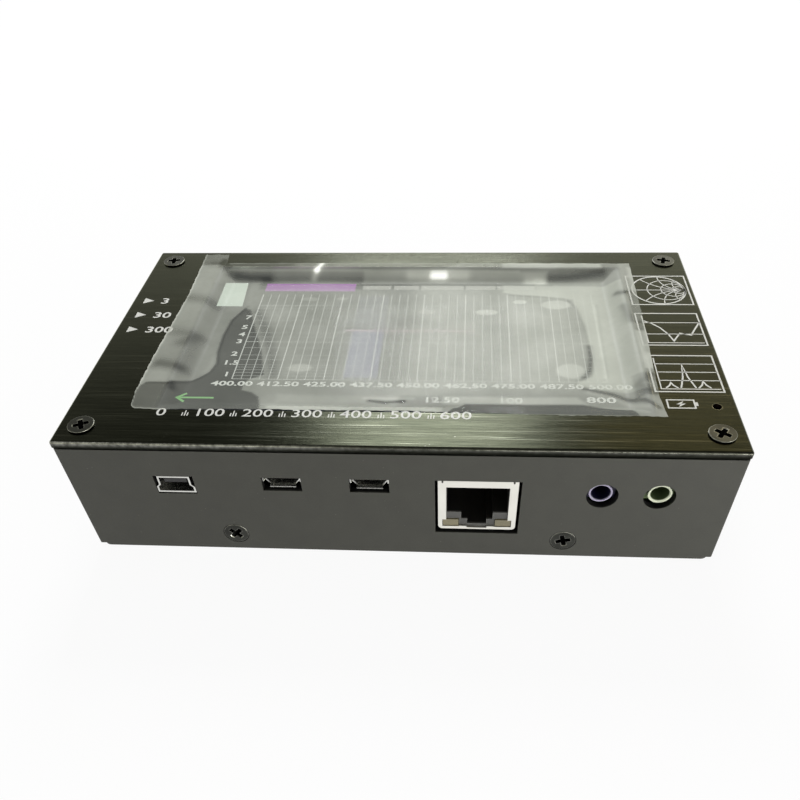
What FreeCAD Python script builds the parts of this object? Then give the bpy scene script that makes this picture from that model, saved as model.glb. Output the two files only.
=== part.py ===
import FreeCAD, Part
import math
import os

# Desktop antenna analyzer in a flat metal case. Millimetres.
# Origin: centre of the footprint on the resting plane. +X right, +Y back, +Z up.
# The socket edge is the front, at -Y, and the display faces up.

Vector = FreeCAD.Vector
LEFT = Vector(-1, 0, 0)
RIGHT = Vector(1, 0, 0)
FRONT = Vector(0, -1, 0)
BACK = Vector(0, 1, 0)
UP = Vector(0, 0, 1)
DOWN = Vector(0, 0, -1)

# ---- case: driving sizes ----
case_width = 132.0
case_depth = 76.0
case_height = 29.8
panel_thickness = 1.4
panel_gap = 0.55             # open line between the panel and the walls; the posts carry the panel
panel_overhang = 0.2         # the panel's edge stands this far past the walls
panel_corner_radius = 0.6
panel_edge_radius = 0.5
wall = 1.5
wall_corner_radius = 0.4
cover_thickness = 1.0
cover_inset = 0.3            # the cover's edge, in from the walls' outer faces
cover_corner_radius = 1.8

# ---- corner posts, tapped for the panel screws ----
post_width = 6.2
post_depth = 7.4
post_height = 12.0
panel_screw_from_side = 4.75
panel_screw_from_end = 5.15

# ---- countersunk M3 screws ----
screw_radius = 1.45
screw_hole_radius = 1.6
thread_hole_radius = 1.5
screw_head_radius = 2.6
screw_head_rim = 0.22        # straight edge of the head, above the cone
screw_head_round = 0.12
panel_screw_length = 8.0
panel_head_proud = 0.4       # the panel's screw heads stand this far out of the plate
wall_screw_length = 6.0
recess_span = 3.3            # cross recess, tip to tip
recess_slot = 1.0
recess_depth = 1.3
recess_floor_radius = 0.6
panel_screw_turns = (25.0, 10.0, 55.0, 75.0)   # degrees; left front, left back, right front, right back
front_screw_turns = (45.0, 14.0)
back_screw_turns = (60.0, 32.0)

# ---- tabs of the bottom cover that take the wall screws ----
tab_width = 10.0
tab_height = 8.2
tab_gap = 0.1
tab_screw_height = 5.0       # above the resting plane
tab_screw_from_side = 31.3   # from the wall's outer side face
clinch_nut_radius = 2.9
clinch_nut_length = 2.2

# ---- display stack, from the panel's underside down ----
seal_thickness = 0.6
seal_inset = 0.5             # the seal's hole, back from the window's edge
seal_width = 3.0
seal_width_side = 2.3
touch_thickness = 0.7
display_thickness = 3.1
display_pad_thickness = 1.2
display_pad_inset = 4.0
display_side_gap_left = 6.6       # module edge to the left posts
display_side_gap_right = 4.85
display_front_gap = 3.4           # module edge to the front wall's inner face
display_back_gap = 0.7
window_border_side = 2.8          # window edge, in from the module's edge
window_border_front = 5.4
window_border_back = 5.2
window_corner_radius = 0.8
frame_rim = 0.8
frame_floor = 0.6
glass_gap = 0.1

# ---- loose protective film, on the panel round the window and sagging to the glass in it ----
film_thickness = 0.12
film_panel_lift = 0.35       # loose above the panel
film_glass_lift = 0.1
film_edge_gap = 0.4          # from the window's edge to the top of the film's slopes
film_slope = 4.5             # width of the slopes
film_lap_left = 5.2          # past the window's edge
film_lap_right = 2.6
film_lap_front = 0.2
film_lap_back = 2.0

# ---- main board, hung from the panel on four studs ----
board_thickness = 1.6
board_side_gap = 0.3
board_front_gap = 1.3
board_back_gap = 3.3
stud_radius = 1.25
stud_hole_radius = 1.35
stud_bite = 1.0              # pressed this far into the panel
stud_length_below = 3.0      # below the board's underside
spacer_radius = 1.95
spacer_bore_radius = 1.35
stud_from_side = 1.9         # from the board's edge
stud_from_front = 15.0
stud_from_back = 7.0
nut_across_flats = 5.0
nut_thickness = 2.0
nut_bore_radius = 1.28

# ---- chips under the main board: size (x, y) and height ----
processor_size = 20.0
processor_height = 1.4
processor_x = -25.0
memory_x = 1.0
memory_width = 8.0
memory_length = 13.0
memory_height = 1.0
small_chip_size = 5.0
small_chip_height = 0.9
crystal_width = 3.2
crystal_length = 5.0
crystal_height = 1.1
solder_seat = 0.05           # gap that solder fills under a part

# ---- front sockets ----
port_gap_top = 0.15
mini_port_gap_side = 0.15
mini_port_gap_bottom = 0.35
micro_port_gap_side = 0.3
micro_port_gap_bottom = 0.75
tongue_setback = 0.7

mini_usb_from_left = 21.75   # socket centre, from the left wall's outer face
mini_usb_width = 7.8
mini_usb_neck = 6.6
mini_usb_height = 4.25
mini_usb_depth = 9.2
mini_usb_setback = 0.1       # mouth, back from the front wall's outer face
mini_usb_sheet = 0.35
mini_usb_shoulder = 2.2      # where the shell starts to flare, from its board side
mini_tongue_width = 4.6
mini_tongue_thickness = 0.9
mini_tongue_drop = 1.2       # from the shell's board side
mini_back_thickness = 1.6

micro_usb_centre_x = -13.6   # half way between the two sockets
micro_usb_spacing = 17.45
micro_usb_width = 7.3
micro_usb_floor = 5.2
micro_usb_height = 2.6
micro_usb_depth = 5.6
micro_usb_setback = 1.4
micro_usb_sheet = 0.25
micro_usb_shoulder = 1.15    # where the shell starts to narrow, from its board side
micro_tongue_width = 3.7
micro_tongue_thickness = 0.6
micro_tongue_drop = 0.9
micro_back_thickness = 1.2
micro_lip_length = 0.75      # flared lips in front of the shell's mouth
micro_lip_drop = 0.25
micro_lip_flare = 0.22
micro_side_lip_top = 0.35    # from the shell's board side
micro_side_lip_height = 1.0

# ---- network socket ----
network_x = 16.5
network_width = 15.75
network_height = 13.4
network_depth = 21.3
network_setback = 0.25
network_sheet = 0.35
network_gap_side = 0.6
network_gap_top = 0.25
network_gap_bottom = 1.0
network_corner_radius = 0.9
network_face_border = 1.8    # metal above the mouth
network_low_border = 0.8     # metal below the mouth
network_notch_depth = 0.4    # in the low border, under the latch
network_slit_width = 0.35    # fold slits at the face's top corners
network_slit_depth = 0.5
network_slit_from_side = 0.9
plug_mouth_width = 12.3
plug_mouth_height = 7.15
plug_mouth_depth = 12.0
plug_shoulder_width = 6.4
plug_shoulder_height = 1.9
plug_latch_width = 3.9
plug_latch_height = 1.35
lamp_width = 3.2
lamp_height = 1.75
lamp_from_side = 0.95
lamp_depth = 3.0
contact_count = 8
contact_pitch = 1.02
contact_wire = 0.45
contact_drop = 2.2           # from the mouth to the contacts' far ends
contact_setback = 2.0

# ---- 3.5 mm audio sockets ----
line_out_from_right = 14.3   # socket centre, from the right wall's outer face
line_spacing = 11.3
audio_width = 6.2
audio_height = 5.0
audio_depth = 12.0
audio_nose_radius = 2.28
audio_nose_length = 1.4
audio_setback = 0.3
audio_bore_radius = 1.8
audio_bore_length = 11.4
audio_hole_gap = 0.82
audio_hole_drop = 0.6        # wall hole centre, below the socket's axis
line_in_hole_shift = 0.35    # wall hole centre, to the right of the socket's axis
audio_rim_chamfer = 0.2

# ---- card socket, at the board's back edge ----
card_socket_x = 20.0
card_socket_width = 14.0
card_socket_length = 14.5
card_socket_height = 1.8
card_width = 11.0
card_length = 15.0
card_thickness = 0.8
card_gap = 0.15
card_proud = 1.0

# ---- push buttons under the main board ----
button_from_side = 4.4
button_y = 0.0
button_spacing = 11.0
button_base_size = 6.0
button_base_height = 3.5
button_radius = 1.75
button_gap = 0.08
button_stick_out = 1.5
button_engaged = 1.5
button_travel = 0.25
button_end_room = 0.1

# ---- headers that carry the measuring board ----
header_pitch = 2.54
header_pins_per_row = 16
header_width = 2.5
header_socket_height = 8.5
header_base_height = 2.5
header_from_right = 4.5
header_inset = 2.5           # row centre, in from the measuring board's edge
header_pin_size = 0.64
header_pin_engaged = 6.0
header_pin_gap = 0.08
header_tail = 1.2

# ---- measuring board and antenna socket ----
measuring_width = 58.5
measuring_depth = 53.3
measuring_y = 1.65
measuring_thickness = 1.6
can_width = 30.0
can_depth = 24.0
can_height = 3.4
can_sheet = 0.3
can_from_left = 12.0
mixer_size = 4.0
mixer_height = 1.0
mixer_spacing = 8.0

antenna_thread_radius = 3.175
antenna_shank_radius = 2.8   # plain part under the wall and nut
antenna_barrel_length = 9.6
antenna_bore_radius = 2.05
antenna_flange = 6.4
antenna_flange_thickness = 1.7
antenna_hole_gap = 0.12
antenna_mouth_depth = 1.9
antenna_contact_radius = 0.635
antenna_contact_bore = 0.45
antenna_contact_bore_depth = 3.0
antenna_contact_tail = 3.5
antenna_leg = 1.0
antenna_leg_length = 3.6
antenna_leg_spread = 2.6
antenna_fit_gap = 0.03
washer_radius = 4.7
washer_thickness = 0.6
antenna_nut_across_flats = 8.0
antenna_nut_thickness = 2.2

# ---- battery on the cover ----
battery_width = 36.0
battery_depth = 38.0
battery_thickness = 6.0
battery_edge_radius = 1.5
battery_gap = 4.0            # from the measuring board's edge
battery_back_gap = 6.3
pad_thickness = 0.5
pad_inset = 3.0

# ---- charge board on the cover, its socket in the right wall ----
charge_length = 26.0
charge_depth = 17.0
charge_thickness = 1.2
charge_pad_thickness = 2.0
charge_wall_gap = 0.5
charge_front_gap = 10.3
charge_usb_setback = 0.9
charge_chip_size = 5.0
charge_chip_height = 1.6
charge_chip_from_left = 6.5  # first chip's centre
charge_chip_spacing = 6.5

# ---- charge lamp under the panel ----
lamp_hole_radius = 0.9
lamp_hole_from_side = 3.9    # from the panel's side edge
lamp_hole_from_front = 13.5
led_radius = 0.82
led_flange_radius = 1.2
led_flange_thickness = 0.6
led_recess = 0.9             # lens top, below the panel's face
led_lead_radius = 0.22
led_lead_spacing = 1.2

# ---- power rocker switch in the right wall ----
switch_y = 8.0
bezel_length = 15.0
bezel_width = 10.4
bezel_thickness = 1.5
bezel_edge_radius = 0.5
housing_length = 13.2
housing_width = 8.8
housing_depth = 10.0
housing_cut_gap = 0.15
cavity_length = 11.2
cavity_width = 6.8
cavity_depth = 7.5
rocker_side_gap = 0.3
rocker_half_length = 4.9
rocker_rise = 3.0
rocker_dip = 1.9
rocker_root = 3.4
rocker_root_half = 1.6
rocker_pivot_depth = 1.1     # pivot, in from the wall's outer face
rocker_half_angle = 10.0
pivot_pin_radius = 0.8
pivot_gap = 0.05
pivot_pin_length = 0.8
pivot_end_gap = 0.1
terminal_width = 3.0
terminal_thickness = 0.8
terminal_length = 4.5
terminal_spacing = 8.0

# ---- wires ----
wire_radius = 0.6
wire_bend = 3.6
wire_spacing = 2.0

# ---- modelling ----
cut_over = 1.0               # how far a cut runs past a face
tiny = 1e-6

# ---- levels and faces worked out from the sizes above ----
panel_under = case_height - panel_thickness
wall_top = panel_under - panel_gap
panel_side = case_width / 2
panel_end = case_depth / 2
wall_side = panel_side - panel_overhang
wall_end = panel_end - panel_overhang
inner_side = wall_side - wall
inner_end = wall_end - wall
post_inner = inner_side - post_width
touch_top = panel_under - seal_thickness
display_top = touch_top - touch_thickness
display_bottom = display_top - display_thickness
board_top = display_bottom - display_pad_thickness
board_under = board_top - board_thickness
display_left = -post_inner + display_side_gap_left
display_right = post_inner - display_side_gap_right
display_front = -inner_end + display_front_gap
display_back = inner_end - display_back_gap
window_left = display_left + window_border_side
window_right = display_right - window_border_side
window_front = display_front + window_border_front
window_back = display_back - window_border_back
board_side = post_inner - board_side_gap
board_front = -inner_end + board_front_gap
board_back = inner_end - board_back_gap
measuring_top = board_under - header_socket_height - header_base_height
measuring_under = measuring_top - measuring_thickness
measuring_left = -inner_side + antenna_flange_thickness
measuring_right = measuring_left + measuring_width
antenna_z = measuring_top + antenna_contact_radius
mini_usb_x = -wall_side + mini_usb_from_left
line_out_x = wall_side - line_out_from_right
line_in_x = line_out_x - line_spacing
audio_z = board_under - solder_seat - audio_height / 2
battery_left = measuring_right + battery_gap
battery_right = battery_left + battery_width
battery_back = inner_end - battery_back_gap
battery_front = battery_back - battery_depth
battery_bottom = cover_thickness + pad_thickness
charge_right = inner_side - charge_wall_gap
charge_left = charge_right - charge_length
charge_front = -inner_end + charge_front_gap
charge_back = charge_front + charge_depth
charge_bottom = cover_thickness + charge_pad_thickness
charge_top = charge_bottom + charge_thickness
charge_y = (charge_front + charge_back) / 2
lamp_x = panel_side - lamp_hole_from_side
lamp_y = -panel_end + lamp_hole_from_front
lamp_top = case_height - led_recess
switch_z = (cover_thickness + panel_under) / 2
pivot_x = wall_side - rocker_pivot_depth
terminal_x = wall_side - housing_depth


def block(x_low, x_high, y_low, y_high, z_low, z_high):
    return Part.makeBox(x_high - x_low, y_high - y_low, z_high - z_low, Vector(x_low, y_low, z_low))


def rod(radius, length, start, direction):
    return Part.makeCylinder(radius, length, start, direction)


def edges_along(shape, direction):
    found = []
    for edge in shape.Edges:
        first, last = edge.Vertexes[0].Point, edge.Vertexes[-1].Point
        if abs(abs((last - first).normalize().dot(direction)) - 1) < tiny:
            found.append(edge)
    return found


def rounded_block(x_low, x_high, y_low, y_high, z_low, z_high, radius, direction):
    body = block(x_low, x_high, y_low, y_high, z_low, z_high)
    return body.makeFillet(radius, edges_along(body, direction))


def centred_block(centre, x_size, y_size, z_size):
    return block(centre.x - x_size / 2, centre.x + x_size / 2, centre.y - y_size / 2,
                 centre.y + y_size / 2, centre.z - z_size / 2, centre.z + z_size / 2)


def prism(points, sweep):
    return Part.Face(Part.makePolygon(points + points[:1])).extrude(sweep)


def hexagon(across_flats, thickness, centre, direction):
    corner = across_flats / math.sqrt(3)
    points = [Vector(corner * math.cos(math.radians(60 * turn)),
                     corner * math.sin(math.radians(60 * turn)), 0) for turn in range(6)]
    return turned(prism(points, Vector(0, 0, thickness)), centre, direction)


def turned(shape, position, direction, spin=0):
    """Moves a shape made at the origin along +Z to a place, facing a direction, spun in degrees."""
    copy = shape.copy()
    facing = FreeCAD.Rotation(UP, direction).multiply(FreeCAD.Rotation(UP, spin))
    copy.Placement = FreeCAD.Placement(position, facing)
    return copy


def cross_recess():
    """Cruciform hole whose floor is narrower than its mouth; the mouth is at z = 0."""
    arm = centred_block(Vector(0, 0, 0), recess_span, recess_slot, 2 * recess_depth)
    other = centred_block(Vector(0, 0, 0), recess_slot, recess_span, 2 * recess_depth)
    taper = Part.makeCone(recess_floor_radius, recess_span / 2, recess_depth, Vector(0, 0, -recess_depth))
    return arm.fuse(other).common(taper)


def countersunk_screw(length):
    """M3 screw with its head's face at z = 0 and its shank along -Z."""
    cone_height = screw_head_radius - screw_radius
    rim = rod(screw_head_radius, screw_head_rim, Vector(0, 0, -screw_head_rim), UP)
    rim = rim.makeFillet(screw_head_round, [e for e in rim.Edges if min(v.Z for v in e.Vertexes) > -tiny])
    cone_low = Vector(0, 0, -screw_head_rim - cone_height)
    cone = Part.makeCone(screw_radius, screw_head_radius, cone_height, cone_low)
    shank = rod(screw_radius, length - screw_head_rim - cone_height, Vector(0, 0, -length), UP)
    return rim.fuse([cone, shank]).removeSplitter().cut(cross_recess())


def countersink(face_position, outward, thickness, sunk):
    """Hole for a countersunk screw whose head's rim ends the given depth under the face."""
    mouth = screw_head_radius + screw_hole_radius - screw_radius
    depth = mouth - screw_hole_radius
    inward = outward * -1
    cone = Part.makeCone(mouth, screw_hole_radius, depth, face_position + inward * sunk, inward)
    relief = rod(mouth, sunk + cut_over, face_position + outward * cut_over, inward)
    hole = rod(screw_hole_radius, thickness + 2 * cut_over, face_position + outward * cut_over, inward)
    return hole.fuse([cone, relief])


def panel_screw_places():
    x = panel_side - panel_screw_from_side
    y = panel_end - panel_screw_from_end
    return [Vector(sx * x, sy * y, case_height) for sx in (-1, 1) for sy in (-1, 1)]


def wall_screw_places(side):
    x = wall_side - tab_screw_from_side
    return [Vector(sx * x, side * wall_end, tab_screw_height) for sx in (-1, 1)]


def stud_places():
    x = board_side - stud_from_side
    ys = (board_front + stud_from_front, board_back - stud_from_back)
    return [Vector(sx * x, y, 0) for sx in (-1, 1) for y in ys]


# ---- case ----

def top_panel():
    plate = rounded_block(-panel_side, panel_side, -panel_end, panel_end, panel_under, case_height,
                          panel_corner_radius, UP)
    top_edges = [e for e in plate.Edges if min(v.Z for v in e.Vertexes) > case_height - tiny]
    plate = plate.makeFillet(panel_edge_radius, top_edges)
    window = rounded_block(window_left, window_right, window_front, window_back,
                           panel_under - cut_over, case_height + cut_over, window_corner_radius, UP)
    plate = plate.cut(window)
    sunk = screw_head_rim - panel_head_proud
    for place in panel_screw_places():
        plate = plate.cut(countersink(place, UP, panel_thickness, sunk))
    lamp_start = Vector(lamp_x, lamp_y, panel_under - cut_over)
    plate = plate.cut(rod(lamp_hole_radius, panel_thickness + 2 * cut_over, lamp_start, UP))
    for place in stud_places():
        plate = plate.cut(rod(stud_radius, stud_bite, Vector(place.x, place.y, panel_under), UP))
    return plate


def case_body():
    outside = rounded_block(-wall_side, wall_side, -wall_end, wall_end, cover_thickness, wall_top,
                            wall_corner_radius, UP)
    inside = block(-inner_side, inner_side, -inner_end, inner_end,
                   cover_thickness - cut_over, wall_top + cut_over)
    body = outside.cut(inside)
    for place in panel_screw_places():
        sx = math.copysign(1, place.x)
        sy = math.copysign(1, place.y)
        xs = sorted((sx * post_inner, sx * (inner_side + wall / 2)))
        ys = sorted((sy * (inner_end - post_depth), sy * (inner_end + wall / 2)))
        body = body.fuse(block(*xs, *ys, panel_under - post_height, panel_under))
    for place in panel_screw_places():
        start = Vector(place.x, place.y, panel_under + cut_over)
        body = body.cut(rod(thread_hole_radius, post_height + 2 * cut_over, start, DOWN))
    for side, outward in ((-1, FRONT), (1, BACK)):
        for place in wall_screw_places(side):
            body = body.cut(countersink(place, outward, wall, screw_head_rim))
    for cut in front_cuts() + side_cuts():
        body = body.cut(cut)
    return body.removeSplitter()


def wall_cut(centre_x, half_width, z_low, z_high):
    return block(centre_x - half_width, centre_x + half_width, -wall_end - cut_over, -inner_end + cut_over,
                 z_low, z_high)


def front_cuts():
    port_top = board_under + port_gap_top
    mini = wall_cut(mini_usb_x, mini_usb_width / 2 + mini_port_gap_side,
                    board_under - mini_usb_height - mini_port_gap_bottom, port_top)
    cuts = [mini]
    for x in micro_usb_places():
        cuts.append(wall_cut(x, micro_usb_width / 2 + micro_port_gap_side,
                             board_under - micro_usb_height - micro_port_gap_bottom, port_top))
    cuts.append(wall_cut(network_x, network_width / 2 + network_gap_side,
                         board_under - network_height - network_gap_bottom, board_under + network_gap_top))
    for x in (line_in_x + line_in_hole_shift, line_out_x):
        centre = Vector(x, -wall_end - cut_over, audio_z - audio_hole_drop)
        cuts.append(rod(audio_nose_radius + audio_hole_gap, wall + 2 * cut_over, centre, BACK))
    return cuts


def side_cuts():
    antenna_start = Vector(-wall_side - cut_over, measuring_y, antenna_z)
    antenna = rod(antenna_thread_radius + antenna_hole_gap, wall + 2 * cut_over, antenna_start, RIGHT)
    half_length = housing_length / 2 + housing_cut_gap
    half_width = housing_width / 2 + housing_cut_gap
    switch = block(inner_side - cut_over, wall_side + cut_over, switch_y - half_length,
                   switch_y + half_length, switch_z - half_width, switch_z + half_width)
    half_port = micro_usb_width / 2 + micro_port_gap_side
    port = block(inner_side - cut_over, wall_side + cut_over, charge_y - half_port, charge_y + half_port,
                 charge_top - port_gap_top, charge_top + micro_usb_height + micro_port_gap_bottom)
    return [antenna, switch, port]


def bottom_cover():
    half_x = wall_side - cover_inset
    half_y = wall_end - cover_inset
    cover = rounded_block(-half_x, half_x, -half_y, half_y, 0, cover_thickness, cover_corner_radius, UP)
    for side, outward in ((-1, FRONT), (1, BACK)):
        for place in wall_screw_places(side):
            face = side * (inner_end - tab_gap)
            ys = sorted((face, face - side * cover_thickness))
            tab = block(place.x - tab_width / 2, place.x + tab_width / 2, *ys, 0, tab_height)
            start = Vector(place.x, face - side * cover_thickness / 2, place.z)
            nut = rod(clinch_nut_radius, clinch_nut_length + cover_thickness / 2, start, outward * -1)
            cover = cover.fuse([tab, nut])
            cover = cover.cut(rod(thread_hole_radius, wall_screw_length + wall, place, outward * -1))
    return cover.removeSplitter()


def top_screws():
    screw = countersunk_screw(panel_screw_length)
    lift = Vector(0, 0, panel_head_proud)
    screws = []
    for place, spin in zip(panel_screw_places(), panel_screw_turns):
        screws.append(turned(screw, place + lift, UP, spin))
    return Part.makeCompound(screws)


def wall_screws(side, outward, spins):
    screw = countersunk_screw(wall_screw_length)
    screws = [turned(screw, place, outward, spin) for place, spin in zip(wall_screw_places(side), spins)]
    return Part.makeCompound(screws)


def front_screws():
    return wall_screws(-1, FRONT, front_screw_turns)


def back_screws():
    return wall_screws(1, BACK, back_screw_turns)


# ---- display ----

def window_corners(inset, z):
    left, right = window_left + inset, window_right - inset
    front, back = window_front + inset, window_back - inset
    return [Vector(left, front, z), Vector(right, front, z), Vector(right, back, z), Vector(left, back, z)]


def screen_film():
    """Flat skirt on the panel, four slopes into the window and a floor over the glass."""
    high = case_height + film_panel_lift
    left = window_left - film_lap_left
    right = window_right + film_lap_right
    front = window_front - film_lap_front
    back = window_back + film_lap_back
    rim = window_corners(film_edge_gap, high)
    floor = window_corners(film_edge_gap + film_slope, touch_top + film_glass_lift)
    sheet = Vector(0, 0, film_thickness)
    film = block(left, right, front, back, high, high + film_thickness).cut(prism(rim, sheet))
    film = film.fuse(prism(floor, sheet))
    for index in range(len(rim)):
        after = (index + 1) % len(rim)
        film = film.fuse(prism([rim[index], rim[after], floor[after], floor[index]], sheet))
    return film.removeSplitter()


def screen_seal():
    hole = block(window_left - seal_inset, window_right + seal_inset, window_front - seal_inset,
                 window_back + seal_inset, touch_top - cut_over, panel_under + cut_over)
    reach = seal_inset + seal_width
    side_reach = seal_inset + seal_width_side
    ring = block(window_left - side_reach, window_right + side_reach, window_front - reach,
                 window_back + reach, touch_top, panel_under)
    return ring.cut(hole)


def touch_glass():
    return block(display_left, display_right, display_front, display_back, display_top, touch_top)


def display_frame():
    tray = block(display_left, display_right, display_front, display_back, display_bottom, display_top)
    pocket = block(display_left + frame_rim, display_right - frame_rim, display_front + frame_rim,
                   display_back - frame_rim, display_bottom + frame_floor, display_top + cut_over)
    return tray.cut(pocket)


def display_glass():
    inset = frame_rim + glass_gap
    return block(display_left + inset, display_right - inset, display_front + inset, display_back - inset,
                 display_bottom + frame_floor, display_top)


def display_pad():
    return block(display_left + display_pad_inset, display_right - display_pad_inset,
                 display_front + display_pad_inset, board_back - display_pad_inset,
                 board_top, display_bottom)


# ---- main board ----

def main_board():
    board = block(-board_side, board_side, board_front, board_back, board_under, board_top)
    for place in stud_places():
        start = Vector(place.x, place.y, board_under - cut_over)
        board = board.cut(rod(stud_hole_radius, board_thickness + 2 * cut_over, start, UP))
    return board


def under_board(centre_x, centre_y, x_size, y_size, height):
    return block(centre_x - x_size / 2, centre_x + x_size / 2, centre_y - y_size / 2,
                 centre_y + y_size / 2, board_under - solder_seat - height, board_under - solder_seat)


def board_chips():
    chips = [under_board(processor_x, measuring_y, processor_size, processor_size, processor_height),
             under_board(memory_x, measuring_y, memory_width, memory_length, memory_height),
             under_board(memory_x, measuring_y + memory_length, small_chip_size, small_chip_size,
                         small_chip_height),
             under_board(network_x, measuring_y, small_chip_size, small_chip_size, small_chip_height),
             under_board(line_in_x, measuring_y, small_chip_size, small_chip_size, small_chip_height),
             under_board(processor_x + processor_size, measuring_y, crystal_width, crystal_length,
                         crystal_height)]
    return Part.makeCompound(chips)


def panel_studs():
    bottom = board_under - stud_length_below
    length = panel_under + stud_bite - bottom
    return Part.makeCompound([rod(stud_radius, length, Vector(p.x, p.y, bottom), UP) for p in stud_places()])


def panel_spacers():
    spacers = []
    for place in stud_places():
        start = Vector(place.x, place.y, board_top)
        tube = rod(spacer_radius, panel_under - board_top, start, UP)
        spacers.append(tube.cut(rod(spacer_bore_radius, panel_under - board_top, start, UP)))
    return Part.makeCompound(spacers)


def board_nuts():
    nuts = []
    for place in stud_places():
        base = Vector(place.x, place.y, board_under - nut_thickness)
        nut = hexagon(nut_across_flats, nut_thickness, base, UP)
        nuts.append(nut.cut(rod(nut_bore_radius, nut_thickness, base, UP)))
    return Part.makeCompound(nuts)


# ---- USB sockets ----

def mini_profile(inset):
    """Mouth outline with its narrow side at the board, as (across, down) pairs."""
    neck = mini_usb_neck / 2 - inset
    wide = mini_usb_width / 2 - inset
    top = inset
    bottom = mini_usb_height - inset
    flare = mini_usb_shoulder + (wide - neck)
    return [(-neck, top), (neck, top), (neck, mini_usb_shoulder), (wide, flare), (wide, bottom),
            (-wide, bottom), (-wide, flare), (-neck, mini_usb_shoulder)]


def micro_profile(inset):
    """Mouth outline with its wide side at the board, as (across, down) pairs."""
    wide = micro_usb_width / 2 - inset
    floor = micro_usb_floor / 2 - inset / 2
    top = inset
    bottom = micro_usb_height - inset
    return [(-wide, top), (wide, top), (wide, micro_usb_shoulder), (floor, bottom), (-floor, bottom),
            (-wide, micro_usb_shoulder)]


def tube_shell(profile, sheet, depth):
    """Open-mouthed metal shell along +Y from y = 0, its board side at z = 0."""
    def outline(inset, start, length):
        points = [Vector(across, start, -down) for across, down in profile(inset)]
        return prism(points, Vector(0, length, 0))
    return outline(0, 0, depth).cut(outline(sheet, -cut_over, depth + 2 * cut_over))


def insert_with_tongue(profile, sheet, depth, back_thickness, tongue_width, tongue_thickness, tongue_top):
    """Plastic block that closes the shell's back and carries the contact tongue."""
    points = [Vector(across, depth - back_thickness, -down) for across, down in profile(sheet + glass_gap)]
    back = prism(points, Vector(0, back_thickness, 0))
    tongue = block(-tongue_width / 2, tongue_width / 2, tongue_setback, depth - back_thickness / 2,
                   -tongue_top - tongue_thickness, -tongue_top)
    return back.fuse(tongue).removeSplitter()


def at_front(shape, x, setback):
    moved = shape.copy()
    moved.translate(Vector(x, -wall_end + setback, board_under - solder_seat))
    return moved


def micro_usb_places():
    half = micro_usb_spacing / 2
    return (micro_usb_centre_x - half, micro_usb_centre_x + half)


def micro_lips():
    """Flared lips in front of the shell's mouth: one under it and one on each side."""
    inner_z = micro_usb_sheet - micro_usb_height
    half = micro_usb_floor / 2
    low = [Vector(-half, 0, inner_z), Vector(-half, -micro_lip_length, inner_z - micro_lip_drop),
           Vector(-half, -micro_lip_length, -micro_usb_height - micro_lip_drop),
           Vector(-half, 0, -micro_usb_height)]
    lips = [prism(low, Vector(micro_usb_floor, 0, 0))]
    z_low = -micro_side_lip_top - micro_side_lip_height
    for side in (-1, 1):
        outer = side * micro_usb_width / 2
        inner = outer - side * micro_usb_sheet
        flare = side * micro_lip_flare
        corners = [Vector(inner, 0, z_low), Vector(inner + flare, -micro_lip_length, z_low),
                   Vector(outer + flare, -micro_lip_length, z_low), Vector(outer, 0, z_low)]
        lips.append(prism(corners, Vector(0, 0, micro_side_lip_height)))
    return lips


def micro_shell():
    return tube_shell(micro_profile, micro_usb_sheet, micro_usb_depth).fuse(micro_lips())


def micro_insert():
    return insert_with_tongue(micro_profile, micro_usb_sheet, micro_usb_depth, micro_back_thickness,
                              micro_tongue_width, micro_tongue_thickness, micro_tongue_drop)


def mini_usb_shell():
    shell = tube_shell(mini_profile, mini_usb_sheet, mini_usb_depth)
    return at_front(shell, mini_usb_x, mini_usb_setback)


def mini_usb_insert():
    insert = insert_with_tongue(mini_profile, mini_usb_sheet, mini_usb_depth, mini_back_thickness,
                                mini_tongue_width, mini_tongue_thickness, mini_tongue_drop)
    return at_front(insert, mini_usb_x, mini_usb_setback)


def left_usb_shell():
    return at_front(micro_shell(), micro_usb_places()[0], micro_usb_setback)


def left_usb_insert():
    return at_front(micro_insert(), micro_usb_places()[0], micro_usb_setback)


def right_usb_shell():
    return at_front(micro_shell(), micro_usb_places()[1], micro_usb_setback)


def right_usb_insert():
    return at_front(micro_insert(), micro_usb_places()[1], micro_usb_setback)


def at_charge_port(shape):
    """The charge socket: the same micro socket, board side down, mouth to the right."""
    moved = shape.copy()
    moved.rotate(Vector(0, 0, 0), BACK, 180)
    moved.rotate(Vector(0, 0, 0), UP, 90)
    moved.translate(Vector(wall_side - charge_usb_setback, charge_y, charge_top + solder_seat))
    return moved


def charge_usb_shell():
    return at_charge_port(micro_shell())


def charge_usb_insert():
    return at_charge_port(micro_insert())


# ---- network socket ----
# Made with its face at y = 0, its centre at x = 0 and its board side at z = 0.

def mouth_top():
    return -network_face_border


def shoulder_top():
    return mouth_top() - plug_mouth_height


def latch_top():
    return shoulder_top() - plug_shoulder_height


def plug_space(grow, y_start, y_end):
    """The stepped T-shaped way in for the plug, wide part at the board side."""
    wide = plug_mouth_width / 2 + grow
    middle = plug_shoulder_width / 2 + grow
    narrow = plug_latch_width / 2 + grow
    upper = block(-wide, wide, y_start, y_end, shoulder_top() - grow, mouth_top() + grow)
    centre = block(-middle, middle, y_start, y_end, latch_top() - grow, mouth_top())
    lower = block(-narrow, narrow, y_start, y_end, latch_top() - plug_latch_height - grow, mouth_top())
    return upper.fuse([centre, lower]).removeSplitter()


def lamp_boxes(grow, y_start, y_end):
    z_low = -network_height + network_low_border
    x_high = network_width / 2 - lamp_from_side
    low_z, high_z = z_low - grow, z_low + lamp_height + grow
    right = block(x_high - lamp_width - grow, x_high + grow, y_start, y_end, low_z, high_z)
    left = block(-x_high - grow, -x_high + lamp_width + grow, y_start, y_end, low_z, high_z)
    return [left, right]


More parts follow.
